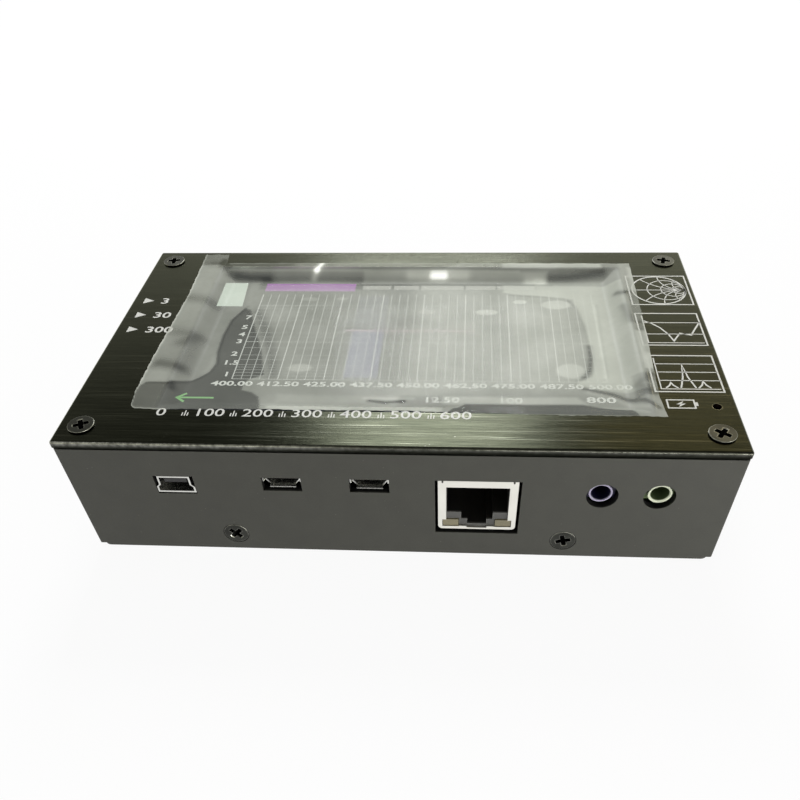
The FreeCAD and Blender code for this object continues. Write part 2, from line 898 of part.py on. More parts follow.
def network_shield():
    half = network_width / 2
    outside = block(-half, half, 0, network_depth, -network_height, 0)
    low_edges = [e for e in edges_along(outside, BACK) if e.CenterOfMass.z < -network_height / 2]
    outside = outside.makeFillet(network_corner_radius, low_edges)
    inside = block(-half + network_sheet, half - network_sheet, network_sheet, network_depth - network_sheet,
                   -network_height + network_sheet, -network_sheet)
    shield = outside.cut(inside)
    for opening in face_openings(-cut_over, network_sheet + cut_over):
        shield = shield.cut(opening)
    return at_front(shield, network_x, network_setback)


def face_openings(y_start, y_end):
    """Mouth, latch notch, lamp windows and fold slits of the shield's face."""
    mouth_half = plug_mouth_width / 2 + glass_gap
    low = -network_height + network_low_border
    notch_half = plug_latch_width / 2 + glass_gap
    mouth = block(-mouth_half, mouth_half, y_start, y_end, low, mouth_top() + glass_gap)
    notch = block(-notch_half, notch_half, y_start, y_end, low - network_notch_depth, mouth_top())
    openings = [mouth, notch] + lamp_boxes(glass_gap, y_start, y_end)
    for side in (-1, 1):
        x = side * (network_width / 2 - network_slit_from_side)
        openings.append(block(x - network_slit_width / 2, x + network_slit_width / 2, y_start, y_end,
                              -network_slit_depth, cut_over))
    return openings


def network_insert():
    inset = network_sheet + glass_gap
    half = network_width / 2 - inset
    solid = block(-half, half, inset, network_depth - inset, -network_height + inset, -inset)
    solid = solid.cut(plug_space(0, 0, plug_mouth_depth))
    for lamp in lamp_boxes(glass_gap, 0, lamp_depth + glass_gap):
        solid = solid.cut(lamp)
    return at_front(solid, network_x, network_setback)


def network_lamps():
    lamps = Part.makeCompound(lamp_boxes(0, network_sheet / 2, lamp_depth))
    return at_front(lamps, network_x, network_setback)


def network_contacts():
    """Eight spring wires that slant down from the mouth's board side."""
    wires = []
    for index in range(contact_count):
        x = (index - (contact_count - 1) / 2) * contact_pitch
        side = x - contact_wire / 2
        top = mouth_top() - glass_gap
        far_y = plug_mouth_depth - glass_gap
        points = [Vector(side, contact_setback, top),
                  Vector(side, far_y, top - contact_drop),
                  Vector(side, far_y, top - contact_drop - contact_wire),
                  Vector(side, contact_setback, top - contact_wire)]
        wires.append(prism(points, Vector(contact_wire, 0, 0)))
    return at_front(Part.makeCompound(wires), network_x, network_setback)


# ---- audio sockets ----

def audio_socket(x):
    """Socket body with a round nose and the bore for a 3.5 mm plug."""
    mouth_y = -wall_end + audio_setback
    body_y = mouth_y + audio_nose_length
    body = block(x - audio_width / 2, x + audio_width / 2, body_y, body_y + audio_depth,
                 audio_z - audio_height / 2, audio_z + audio_height / 2)
    nose = rod(audio_nose_radius, audio_nose_length + cut_over, Vector(x, mouth_y, audio_z), BACK)
    bore = rod(audio_bore_radius, audio_bore_length, Vector(x, mouth_y, audio_z), BACK)
    funnel = Part.makeCone(audio_bore_radius + audio_rim_chamfer, audio_bore_radius, audio_rim_chamfer,
                           Vector(x, mouth_y, audio_z), BACK)
    return body.fuse(nose).cut(bore).cut(funnel)


def line_in_socket():
    return audio_socket(line_in_x)


def line_out_socket():
    return audio_socket(line_out_x)


# ---- memory card ----

def card_socket():
    z_high = board_under - solder_seat
    z_low = z_high - card_socket_height
    shell = block(card_socket_x - card_socket_width / 2, card_socket_x + card_socket_width / 2,
                  board_back - card_socket_length, board_back, z_low, z_high)
    return shell.cut(card_space(card_gap))


def card_space(grow):
    z_mid = board_under - solder_seat - card_socket_height / 2
    half_x = card_width / 2 + grow
    half_z = card_thickness / 2 + grow
    y_high = board_back + card_proud
    return block(card_socket_x - half_x, card_socket_x + half_x, y_high - card_length - grow, y_high,
                 z_mid - half_z, z_mid + half_z)


def memory_card():
    return card_space(0)


# ---- push buttons ----

def button_places():
    x = -board_side + button_from_side
    return [Vector(x, button_y + side * button_spacing / 2, 0) for side in (-1, 1)]


def button_bases():
    bases = []
    z_high = board_under - solder_seat
    z_low = z_high - button_base_height
    well = button_engaged + button_travel + button_end_room
    for place in button_places():
        half = button_base_size / 2
        base = block(place.x - half, place.x + half, place.y - half, place.y + half, z_low, z_high)
        bases.append(base.cut(rod(button_radius + button_gap, well, Vector(place.x, place.y, z_low), UP)))
    return Part.makeCompound(bases)


def button(place):
    z_low = board_under - solder_seat - button_base_height - button_stick_out
    return rod(button_radius, button_stick_out + button_engaged, Vector(place.x, place.y, z_low), UP)


def user_button():
    return button(button_places()[0])


def reset_button():
    return button(button_places()[1])


# ---- header rows between the two boards ----

def header_rows():
    half = measuring_depth / 2 - header_inset
    return (measuring_y - half, measuring_y + half)


def header_pin_xs():
    last = measuring_right - header_from_right
    return [last - index * header_pitch for index in range(header_pins_per_row)]


def header_strip(y, z_low, z_high):
    xs = header_pin_xs()
    return block(min(xs) - header_pitch / 2, max(xs) + header_pitch / 2, y - header_width / 2,
                 y + header_width / 2, z_low, z_high)


def header_sockets():
    """Female strips under the main board."""
    strips = []
    z_low = board_under - header_socket_height
    hole = header_pin_size + 2 * header_pin_gap
    for y in header_rows():
        strip = header_strip(y, z_low, board_under - solder_seat)
        for x in header_pin_xs():
            depth = header_pin_engaged + header_pin_gap
            strip = strip.cut(block(x - hole / 2, x + hole / 2, y - hole / 2, y + hole / 2,
                                    z_low - cut_over, z_low + depth))
        strips.append(strip)
    return Part.makeCompound(strips)


def header_bases():
    """Plastic strips that hold the pins on the measuring board."""
    strips = []
    z_high = measuring_top + header_base_height
    for y in header_rows():
        strip = header_strip(y, measuring_top, z_high)
        for x in header_pin_xs():
            half = header_pin_size / 2
            strip = strip.cut(block(x - half, x + half, y - half, y + half,
                                    measuring_top - cut_over, z_high + cut_over))
        strips.append(strip)
    return Part.makeCompound(strips)


def header_pins():
    pins = []
    half = header_pin_size / 2
    z_low = measuring_under - header_tail
    z_high = measuring_top + header_base_height + header_pin_engaged
    for y in header_rows():
        for x in header_pin_xs():
            pins.append(block(x - half, x + half, y - half, y + half, z_low, z_high))
    return Part.makeCompound(pins)


# ---- measuring board ----

def measuring_board():
    half = measuring_depth / 2
    board = block(measuring_left, measuring_right, measuring_y - half, measuring_y + half,
                  measuring_under, measuring_top)
    hole = header_pin_size / 2 + header_pin_gap
    for y in header_rows():
        for x in header_pin_xs():
            board = board.cut(block(x - hole, x + hole, y - hole, y + hole,
                                    measuring_under - cut_over, measuring_top + cut_over))
    return board


def can_centre():
    x = measuring_left + can_from_left + can_width / 2
    return Vector(x, measuring_y, measuring_top)


def screening_can():
    centre = can_centre()
    outside = block(centre.x - can_width / 2, centre.x + can_width / 2, centre.y - can_depth / 2,
                    centre.y + can_depth / 2, centre.z, centre.z + can_height)
    inside = block(centre.x - can_width / 2 + can_sheet, centre.x + can_width / 2 - can_sheet,
                   centre.y - can_depth / 2 + can_sheet, centre.y + can_depth / 2 - can_sheet,
                   centre.z - cut_over, centre.z + can_height - can_sheet)
    return outside.cut(inside)


def measuring_chips():
    """Signal source and two mixers under the can."""
    centre = can_centre()
    chips = []
    for step in (-1, 0, 1):
        middle = Vector(centre.x + step * mixer_spacing, centre.y, centre.z + solder_seat + mixer_height / 2)
        chips.append(centred_block(middle, mixer_size, mixer_size, mixer_height))
    return Part.makeCompound(chips)


# ---- antenna socket, through the left wall ----

def antenna_socket():
    """Flange inside the wall, threaded barrel through it, four legs that grip the board."""
    flange_x = (-inner_side + measuring_left) / 2
    flange = centred_block(Vector(flange_x, measuring_y, antenna_z), antenna_flange_thickness,
                           antenna_flange, antenna_flange)
    inner_face = Vector(-inner_side, measuring_y, antenna_z)
    shank_length = wall + washer_thickness + antenna_nut_thickness
    shank = rod(antenna_shank_radius, shank_length, inner_face, LEFT)
    thread = rod(antenna_thread_radius, antenna_barrel_length - shank_length,
                 inner_face + LEFT * shank_length, LEFT)
    body = flange.fuse([shank, thread])
    for side in (-1, 1):
        y = measuring_y + side * antenna_leg_spread
        y_low = y - antenna_leg / 2
        y_high = y + antenna_leg / 2
        x_high = measuring_left + antenna_leg_length
        upper = block(flange_x, x_high, y_low, y_high, measuring_top, measuring_top + antenna_leg)
        lower = block(flange_x, x_high, y_low, y_high, measuring_under - antenna_leg, measuring_under)
        body = body.fuse([upper, lower])
    bore = rod(antenna_bore_radius, antenna_barrel_length + antenna_flange_thickness + cut_over,
               Vector(measuring_left, measuring_y, antenna_z), LEFT)
    return body.cut(bore).removeSplitter()


def antenna_mouth_x():
    return -inner_side - antenna_barrel_length


def antenna_insulator():
    x_low = antenna_mouth_x() + antenna_mouth_depth
    length = measuring_left - x_low
    start = Vector(x_low, measuring_y, antenna_z)
    sleeve = rod(antenna_bore_radius - antenna_fit_gap, length, start, RIGHT)
    return sleeve.cut(rod(antenna_contact_radius, length, start, RIGHT))


def antenna_contact():
    x_low = antenna_mouth_x() + antenna_mouth_depth
    length = measuring_left + antenna_contact_tail - x_low
    start = Vector(x_low, measuring_y, antenna_z)
    pin = rod(antenna_contact_radius, length, start, RIGHT)
    return pin.cut(rod(antenna_contact_bore, antenna_contact_bore_depth, start, RIGHT))


def antenna_washer():
    start = Vector(-wall_side, measuring_y, antenna_z)
    ring = rod(washer_radius, washer_thickness, start, LEFT)
    return ring.cut(rod(antenna_thread_radius + antenna_fit_gap, washer_thickness, start, LEFT))


def antenna_nut():
    start = Vector(-wall_side - washer_thickness, measuring_y, antenna_z)
    nut = hexagon(antenna_nut_across_flats, antenna_nut_thickness, start, LEFT)
    return nut.cut(rod(antenna_shank_radius + antenna_fit_gap, antenna_nut_thickness, start, LEFT))


# ---- battery and charge board ----

def battery_pack():
    return rounded_block(battery_left, battery_right, battery_front, battery_back, battery_bottom,
                         battery_bottom + battery_thickness, battery_edge_radius, BACK)


def battery_pad():
    return block(battery_left + pad_inset, battery_right - pad_inset, battery_front + pad_inset,
                 battery_back - pad_inset, cover_thickness, battery_bottom)


def charge_board():
    return block(charge_left, charge_right, charge_front, charge_back, charge_bottom, charge_top)


def charge_pad():
    return block(charge_left + pad_inset, charge_right - pad_inset, charge_front + pad_inset,
                 charge_back - pad_inset, cover_thickness, charge_bottom)


def charge_chips():
    z = charge_top + solder_seat + charge_chip_height / 2
    chips = []
    for step in (0, 1):
        place = Vector(charge_left + charge_chip_from_left + step * charge_chip_spacing, charge_y, z)
        chips.append(centred_block(place, charge_chip_size, charge_chip_size, charge_chip_height))
    return Part.makeCompound(chips)


def charge_lamp():
    """Small lamp with a domed lens in the panel's hole and its flange under the panel."""
    body_top = lamp_top - led_radius
    flange_z = panel_under - led_flange_thickness
    flange = rod(led_flange_radius, led_flange_thickness, Vector(lamp_x, lamp_y, flange_z), UP)
    body = rod(led_radius, body_top - flange_z, Vector(lamp_x, lamp_y, flange_z), UP)
    dome = Part.makeSphere(led_radius, Vector(lamp_x, lamp_y, body_top), UP, 0, 90, 360)
    return flange.fuse([body, dome]).removeSplitter()


def lamp_leads():
    z_high = panel_under - led_flange_thickness
    leads = []
    for side in (-1, 1):
        start = Vector(lamp_x, lamp_y + side * led_lead_spacing / 2, charge_top)
        leads.append(rod(led_lead_radius, z_high - charge_top, start, UP))
    return Part.makeCompound(leads)


# ---- power rocker switch ----

def switch_housing():
    bezel = block(wall_side, wall_side + bezel_thickness, switch_y - bezel_length / 2,
                  switch_y + bezel_length / 2, switch_z - bezel_width / 2, switch_z + bezel_width / 2)
    bezel = bezel.makeFillet(bezel_edge_radius, edges_along(bezel, RIGHT))
    barrel = block(terminal_x, wall_side, switch_y - housing_length / 2, switch_y + housing_length / 2,
                   switch_z - housing_width / 2, switch_z + housing_width / 2)
    cavity = block(wall_side + bezel_thickness - cavity_depth, wall_side + bezel_thickness + cut_over,
                   switch_y - cavity_length / 2, switch_y + cavity_length / 2,
                   switch_z - cavity_width / 2, switch_z + cavity_width / 2)
    housing = bezel.fuse(barrel).cut(cavity)
    hole_length = cavity_width + 2 * (pivot_pin_length - rocker_side_gap + pivot_end_gap)
    start = Vector(pivot_x, switch_y, switch_z - hole_length / 2)
    return housing.cut(rod(pivot_pin_radius + pivot_gap, hole_length, start, UP)).removeSplitter()


def switch_rocker():
    """Rocker with two raised ends and a pivot pin; at rest its front end is pressed in."""
    half_width = cavity_width / 2 - rocker_side_gap
    z_low = switch_z - half_width
    outline = [(rocker_rise, -rocker_half_length), (rocker_dip, 0), (rocker_rise, rocker_half_length),
               (0, rocker_half_length), (-rocker_root, rocker_root_half), (-rocker_root, -rocker_root_half),
               (0, -rocker_half_length)]
    points = [Vector(pivot_x + out, switch_y + along, z_low) for out, along in outline]
    rocker = prism(points, Vector(0, 0, 2 * half_width))
    pin_length = 2 * (half_width + pivot_pin_length)
    pin = rod(pivot_pin_radius, pin_length, Vector(pivot_x, switch_y, switch_z - pin_length / 2), UP)
    rocker = rocker.fuse(pin).removeSplitter()
    rocker.rotate(Vector(pivot_x, switch_y, switch_z), UP, -rocker_half_angle)
    return rocker


def terminal_places():
    return [Vector(terminal_x, switch_y + side * terminal_spacing / 2, switch_z) for side in (-1, 1)]


def switch_terminals():
    blades = []
    for place in terminal_places():
        blades.append(block(place.x - terminal_length, place.x, place.y - terminal_thickness / 2,
                            place.y + terminal_thickness / 2, place.z - terminal_width / 2,
                            place.z + terminal_width / 2))
    return Part.makeCompound(blades)


# ---- wires, each a round tube along straight runs and one arc ----

def bent_wire(start, corner, end):
    """Wire from start to end round one corner, with an arc of the wire's bend radius."""
    into = (corner - start).normalize()
    out = (end - corner).normalize()
    arc_start = corner - into * wire_bend
    arc_end = corner + out * wire_bend
    arc_middle = corner + (out - into) * wire_bend * (1 - math.sqrt(0.5))
    path = Part.Wire([Part.LineSegment(start, arc_start).toShape(),
                      Part.Arc(arc_start, arc_middle, arc_end).toShape(),
                      Part.LineSegment(arc_end, end).toShape()])
    section = Part.Wire([Part.Circle(start, into, wire_radius).toShape()])
    return path.makePipeShell([section], True, False)


def battery_wire(index):
    z = (charge_bottom + charge_top) / 2
    y = battery_front + 2 * wire_bend + index * wire_spacing
    x = charge_left + 2 * wire_bend + index * wire_spacing
    return bent_wire(Vector(battery_right, y, z), Vector(x, y, z), Vector(x, charge_back, z))


def riser(x, y, z_end):
    z = (charge_bottom + charge_top) / 2
    return bent_wire(Vector(x, charge_back, z), Vector(x, y, z), Vector(x, y, z_end))


def red_wires():
    front_blade, back_blade = terminal_places()
    x = front_blade.x - terminal_length / 2
    feed = riser(x, front_blade.y, front_blade.z - terminal_width / 2)
    z_low = back_blade.z + terminal_width / 2
    output = rod(wire_radius, board_under - z_low, Vector(x, back_blade.y, z_low), UP)
    return Part.makeCompound([battery_wire(0), feed, output])


def black_wires():
    x = terminal_places()[0].x - terminal_length / 2 - 2 * wire_spacing
    ground = riser(x, charge_back + 2 * wire_bend, board_under)
    return Part.makeCompound([battery_wire(1), ground])


sub_parts = [top_panel, case_body, bottom_cover, top_screws, front_screws, back_screws,
             screen_film, screen_seal, touch_glass, display_frame, display_glass, display_pad,
             main_board, board_chips, panel_studs, panel_spacers, board_nuts,
             mini_usb_shell, mini_usb_insert, left_usb_shell, left_usb_insert,
             right_usb_shell, right_usb_insert, network_shield, network_insert,
             network_contacts, network_lamps, line_in_socket, line_out_socket,
             card_socket, memory_card, button_bases, user_button, reset_button,
             header_sockets, header_bases, header_pins, measuring_board, measuring_chips,
             screening_can, antenna_socket, antenna_insulator, antenna_contact,
             antenna_washer, antenna_nut, battery_pack, battery_pad, charge_board, charge_pad,
             charge_chips, charge_usb_shell, charge_usb_insert, charge_lamp, lamp_leads,
             switch_housing, switch_rocker, switch_terminals, red_wires, black_wires]

os.makedirs("parts", exist_ok=True)
for make in sub_parts:
    shape = make()
    shape.exportStep("parts/" + make.__name__ + ".step")
    print(make.__name__, len(shape.Solids), "solids", round(shape.Volume, 2), "mm3")
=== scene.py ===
import math

import bpy
import numpy as np
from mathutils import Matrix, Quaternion, Vector
from mathutils.bvhtree import BVHTree


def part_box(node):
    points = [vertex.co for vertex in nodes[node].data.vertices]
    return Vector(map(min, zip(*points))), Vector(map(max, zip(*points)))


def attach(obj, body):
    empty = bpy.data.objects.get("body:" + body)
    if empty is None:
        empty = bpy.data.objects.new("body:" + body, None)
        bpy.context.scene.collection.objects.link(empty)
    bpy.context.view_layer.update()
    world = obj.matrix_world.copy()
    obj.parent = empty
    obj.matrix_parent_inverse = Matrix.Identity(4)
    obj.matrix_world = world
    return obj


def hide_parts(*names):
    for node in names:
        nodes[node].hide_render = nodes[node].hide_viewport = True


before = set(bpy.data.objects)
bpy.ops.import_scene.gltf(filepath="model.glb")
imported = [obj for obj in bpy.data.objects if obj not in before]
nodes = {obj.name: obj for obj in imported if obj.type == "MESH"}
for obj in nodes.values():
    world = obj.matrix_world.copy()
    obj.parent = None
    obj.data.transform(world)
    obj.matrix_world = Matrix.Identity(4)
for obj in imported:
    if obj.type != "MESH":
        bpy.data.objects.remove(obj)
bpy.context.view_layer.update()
mm = 0.001
print("frame loaded:", len(nodes), "nodes")


def nodeBox(name):
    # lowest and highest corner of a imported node, in millimetres
    low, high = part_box(name)
    return low / mm, high / mm


panelTop = nodeBox("top_panel")[1].z
displayTop = nodeBox("display_glass")[1].z
glassTop = nodeBox("touch_glass")[1].z

cameraView = {
    # places in millimetres, roll in degrees, clip in metres
    "place": (13.194, -141.729, 119.45),
    "aim": (4.286, -45.829, 14.5),
    "roll": -2.601,
    "focal": 33.134,
    "sensor": 36,
    "shift": (-0.0175, 0.16875),
    "clip": (0.005, 20),
}


def addObject(name, data):
    added = bpy.data.objects.new(name, data)
    bpy.context.scene.collection.objects.link(added)
    return added


def pointAt(item, place, aim, roll=0.0):
    place, aim = Vector(place) * mm, Vector(aim) * mm
    item.location = place
    item.rotation_mode = "QUATERNION"
    turn = (aim - place).to_track_quat("-Z", "Y")
    item.rotation_quaternion = turn @ Quaternion((0, 0, 1), math.radians(roll))


def setCamera():
    data = bpy.data.cameras.new("tableCamera")
    camera = addObject("tableCamera", data)
    pointAt(camera, cameraView["place"], cameraView["aim"], cameraView["roll"])
    data.lens = cameraView["focal"]
    data.sensor_width = cameraView["sensor"]
    data.shift_x, data.shift_y = cameraView["shift"]
    data.clip_start, data.clip_end = cameraView["clip"]
    bpy.context.scene.camera = camera


setCamera()
print("camera set")


# Small helpers for node trees.
def feed(tree, node, values):
    # numbers and colours are set on the node's own sockets, outputs are linked to them
    for label, value in values.items():
        socket = node.inputs[label]
        if isinstance(value, bpy.types.NodeSocket):
            tree.links.new(value, socket)
        elif isinstance(value, tuple):
            socket.default_value = (*value, 1)
        else:
            socket.default_value = value


def mathNode(tree, operation, *values):
    node = tree.nodes.new("ShaderNodeMath")
    node.operation = operation
    feed(tree, node, dict(enumerate(values)))
    return node.outputs[0]


def product(tree, first, *others):
    for other in others:
        first = mathNode(tree, "MULTIPLY", first, other)
    return first


mixSockets = {"factor": 0, "first": 6, "second": 7, "result": 2}    # of a colour mix
rangeSockets = ("Value", "From Min", "From Max", "To Min", "To Max")
noiseSpan = (0.3, 0.7)      # where most values of a noise lie


def mixColour(tree, factor, first, second):
    node = tree.nodes.new("ShaderNodeMix")
    node.data_type = "RGBA"
    feed(tree, node, {mixSockets["factor"]: factor, mixSockets["first"]: first, mixSockets["second"]: second})
    return node.outputs[mixSockets["result"]]


def rangeNode(tree, value, fromLow, fromHigh, toLow=0.0, toHigh=1.0):
    node = tree.nodes.new("ShaderNodeMapRange")
    feed(tree, node, dict(zip(rangeSockets, (value, fromLow, fromHigh, toLow, toHigh))))
    return node.outputs["Result"]


def noiseNode(tree, vector, scale, detail=4, roughness=0.55):
    node = tree.nodes.new("ShaderNodeTexNoise")
    feed(tree, node, {"Vector": vector, "Scale": scale, "Detail": detail, "Roughness": roughness})
    return node.outputs["Fac"]


def spreadNoise(tree, noise, toLow=0.0, toHigh=1.0):
    return rangeNode(tree, noise, *noiseSpan, toLow, toHigh)


def splitVector(tree, vector):
    node = tree.nodes.new("ShaderNodeSeparateXYZ")
    feed(tree, node, {"Vector": vector})
    return node.outputs["X"], node.outputs["Y"], node.outputs["Z"]


def faceNormal(tree):
    return tree.nodes.new("ShaderNodeNewGeometry").outputs["Normal"]


def newGroup(name, numbers, outputs):
    # every group takes Vector and the numbers listed with their first values
    group = bpy.data.node_groups.new(name, "ShaderNodeTree")
    sockets = group.interface
    sockets.new_socket("Vector", in_out="INPUT", socket_type="NodeSocketVector")
    for label, value in numbers.items():
        sockets.new_socket(label, in_out="INPUT", socket_type="NodeSocketFloat").default_value = value
    for label in outputs:
        sockets.new_socket(label, in_out="OUTPUT", socket_type="NodeSocketFloat")
    return group, group.nodes.new("NodeGroupInput").outputs, group.nodes.new("NodeGroupOutput")


def useGroup(tree, group, where, values):
    node = tree.nodes.new("ShaderNodeGroup")
    node.node_tree = group
    feed(tree, node, {"Vector": where, **values})
    return node.outputs


def buildGrain():
    # fine relief and slow patches of any finish; Scale is per metre
    group, given, made = newGroup("surfaceGrain", {"Scale": 2000.0}, ["Height", "Patches"])
    fine = noiseNode(group, given["Vector"], given["Scale"], detail=5, roughness=0.6)
    slow = noiseNode(group, given["Vector"], product(group, given["Scale"], 0.035), detail=3)
    feed(group, made, {"Height": fine, "Patches": spreadNoise(group, slow)})
    return group


def buildBrushing():
    # long fine scratches along X, as a brushing belt leaves them
    group, given, made = newGroup(
        "beltBrushing", {"Lines Per Metre": 6000.0, "Stroke": 0.012}, ["Lines", "Bands"])
    x, y, z = splitVector(group, given["Vector"])
    merge = group.nodes.new("ShaderNodeCombineXYZ")
    feed(group, merge, {
        "X": mathNode(group, "DIVIDE", x, given["Stroke"]),
        "Y": product(group, y, given["Lines Per Metre"]),
        "Z": product(group, z, given["Lines Per Metre"])})
    feed(group, made, {
        "Lines": noiseNode(group, merge.outputs["Vector"], 1.0, detail=3, roughness=0.7),
        "Bands": noiseNode(group, merge.outputs["Vector"], 0.16, detail=4, roughness=0.6)})
    return group


wearAndHighlightLook = {"bend": (0.01, 0.22), "patches": 900.0, "broken": (0.36, 0.62, 0.25, 1.0)}
dustLook = {"speck": (0.05, 0.11), "patches": 310.0, "patchFrom": 0.57}


def buildEdgeWearAndHighlight():
    # scuffed edges, and on some finishes a painted highlight on them: where the rounded normal leaves the
    # face's own
    group, given, made = newGroup("edgeWearAndHighlight", {"Reach": 0.0003, "Amount": 1.0}, ["Mask"])
    bevel = group.nodes.new("ShaderNodeBevel")
    bevel.samples = 4
    feed(group, bevel, {"Radius": given["Reach"]})
    dot = group.nodes.new("ShaderNodeVectorMath")
    dot.operation = "DOT_PRODUCT"
    feed(group, dot, {0: bevel.outputs["Normal"], 1: faceNormal(group)})
    bend = mathNode(group, "SUBTRACT", 1.0, dot.outputs["Value"])
    patches = noiseNode(group, given["Vector"], wearAndHighlightLook["patches"], detail=5)
    feed(group, made, {"Mask": product(
        group, rangeNode(group, bend, *wearAndHighlightLook["bend"]), rangeNode(group, patches, *wearAndHighlightLook["broken"]),
        given["Amount"])})
    return group


def buildDust():
    # sparse pale specks and lint
    group, given, made = newGroup("dustSpecks", {"Scale": 700.0, "Amount": 0.5}, ["Mask"])
    cells = group.nodes.new("ShaderNodeTexVoronoi")
    feed(group, cells, {"Vector": given["Vector"], "Scale": given["Scale"]})
    speck = rangeNode(group, cells.outputs["Distance"], *dustLook["speck"], 1.0, 0.0)
    patches = noiseNode(group, given["Vector"], dustLook["patches"])
    chosen = mathNode(group, "GREATER_THAN", patches, dustLook["patchFrom"])
    feed(group, made, {"Mask": product(group, speck, chosen, given["Amount"])})
    return group


def buildRingHighlight():
    # a painted highlight ring on a front face: 0 near a line that runs along Y, 1 further off than Start to
    # End, and 0 again behind Back
    group, given, made = newGroup(
        "ringHighlight", {"Centre X": 0.0, "Centre Z": 0.0, "Start": 0.001, "End": 0.002, "Back": 0.0}, ["Mask"])
    x, y, z = splitVector(group, given["Vector"])
    across = mathNode(group, "POWER", mathNode(group, "SUBTRACT", x, given["Centre X"]), 2.0)
    up = mathNode(group, "POWER", mathNode(group, "SUBTRACT", z, given["Centre Z"]), 2.0)
    reach = mathNode(group, "SQRT", mathNode(group, "ADD", across, up))
    ring = rangeNode(group, reach, given["Start"], given["End"])
    feed(group, made, {"Mask": product(group, ring, mathNode(group, "LESS_THAN", y, given["Back"]))})
    return group


def buildInsideShade():
    # 1 inside the box of half sizes X and Y around the origin and below Top, where painted shade goes
    group, given, made = newGroup("insideShade", {"Half X": 0.06, "Half Y": 0.03, "Top": 0.03}, ["Mask"])
    x, y, z = splitVector(group, given["Vector"])
    inX = mathNode(group, "LESS_THAN", mathNode(group, "ABSOLUTE", x), given["Half X"])
    inY = mathNode(group, "LESS_THAN", mathNode(group, "ABSOLUTE", y), given["Half Y"])
    feed(group, made, {"Mask": product(group, inX, inY, mathNode(group, "LESS_THAN", z, given["Top"]))})
    return group


grainGroup = buildGrain()
brushGroup = buildBrushing()
wearAndHighlightGroup = buildEdgeWearAndHighlight()
dustGroup = buildDust()
ringHighlightGroup = buildRingHighlight()
insideShadeGroup = buildInsideShade()
print("shader groups built")


def newMaterial(name):
    material = bpy.data.materials.new(name)
    material.use_nodes = True
    tree = material.node_tree
    where = tree.nodes.new("ShaderNodeTexCoord").outputs["Object"]
    return material, tree, tree.nodes["Principled BSDF"], where


def addBump(tree, shader, height, distance):
    bump = tree.nodes.new("ShaderNodeBump")
    feed(tree, bump, {"Distance": distance * mm, "Strength": 1.0, "Height": height})
    feed(tree, shader, {"Normal": bump.outputs["Normal"]})


# Painted shade: the screw heads and the network socket turn dark a little behind their outer faces.
recess = {"screw": 0.14, "socket": 0.4}
wellInside = 100.0
screwFront = nodeBox("back_screws")[1].y - recess["screw"]
screwTop = nodeBox("top_screws")[1].z - recess["screw"]
socketFront = -nodeBox("network_insert")[0].y - recess["socket"]

# Painted highlight on rounded and slanted faces: how far from square they start and are full, and the patches
# on them.
roundedHighlightLook = {"square": (0.72, 0.95), "patches": 1500.0, "broken": (0.35, 0.6, 0.3, 1.0)}

# What any finish has unless its own entry says otherwise. "wear" is colour, reach in mm and amount of
# scuffed edges, on the screws a painted highlight, "inside" the half width, half depth and top of the painted
# shade inside,
# "ring" a painted highlight ring on a socket's face (owner, start, end and depth in mm, colour), "turned" the
# colour of the painted highlight on rounded and slanted faces.
plainFinish = {
    "shade": 0.75, "metallic": 0.0, "rough": (0.4, 0.6), "grain": 3000, "relief": 0.01,
    "wearAndHighlight": None, "dust": 0.0, "dustColour": (0.45, 0.44, 0.40), "coat": 0.0, "specular": 0.5,
    "inside": None, "insideShadeColour": (0.003, 0.003, 0.003), "ring": None, "turned": None,
}

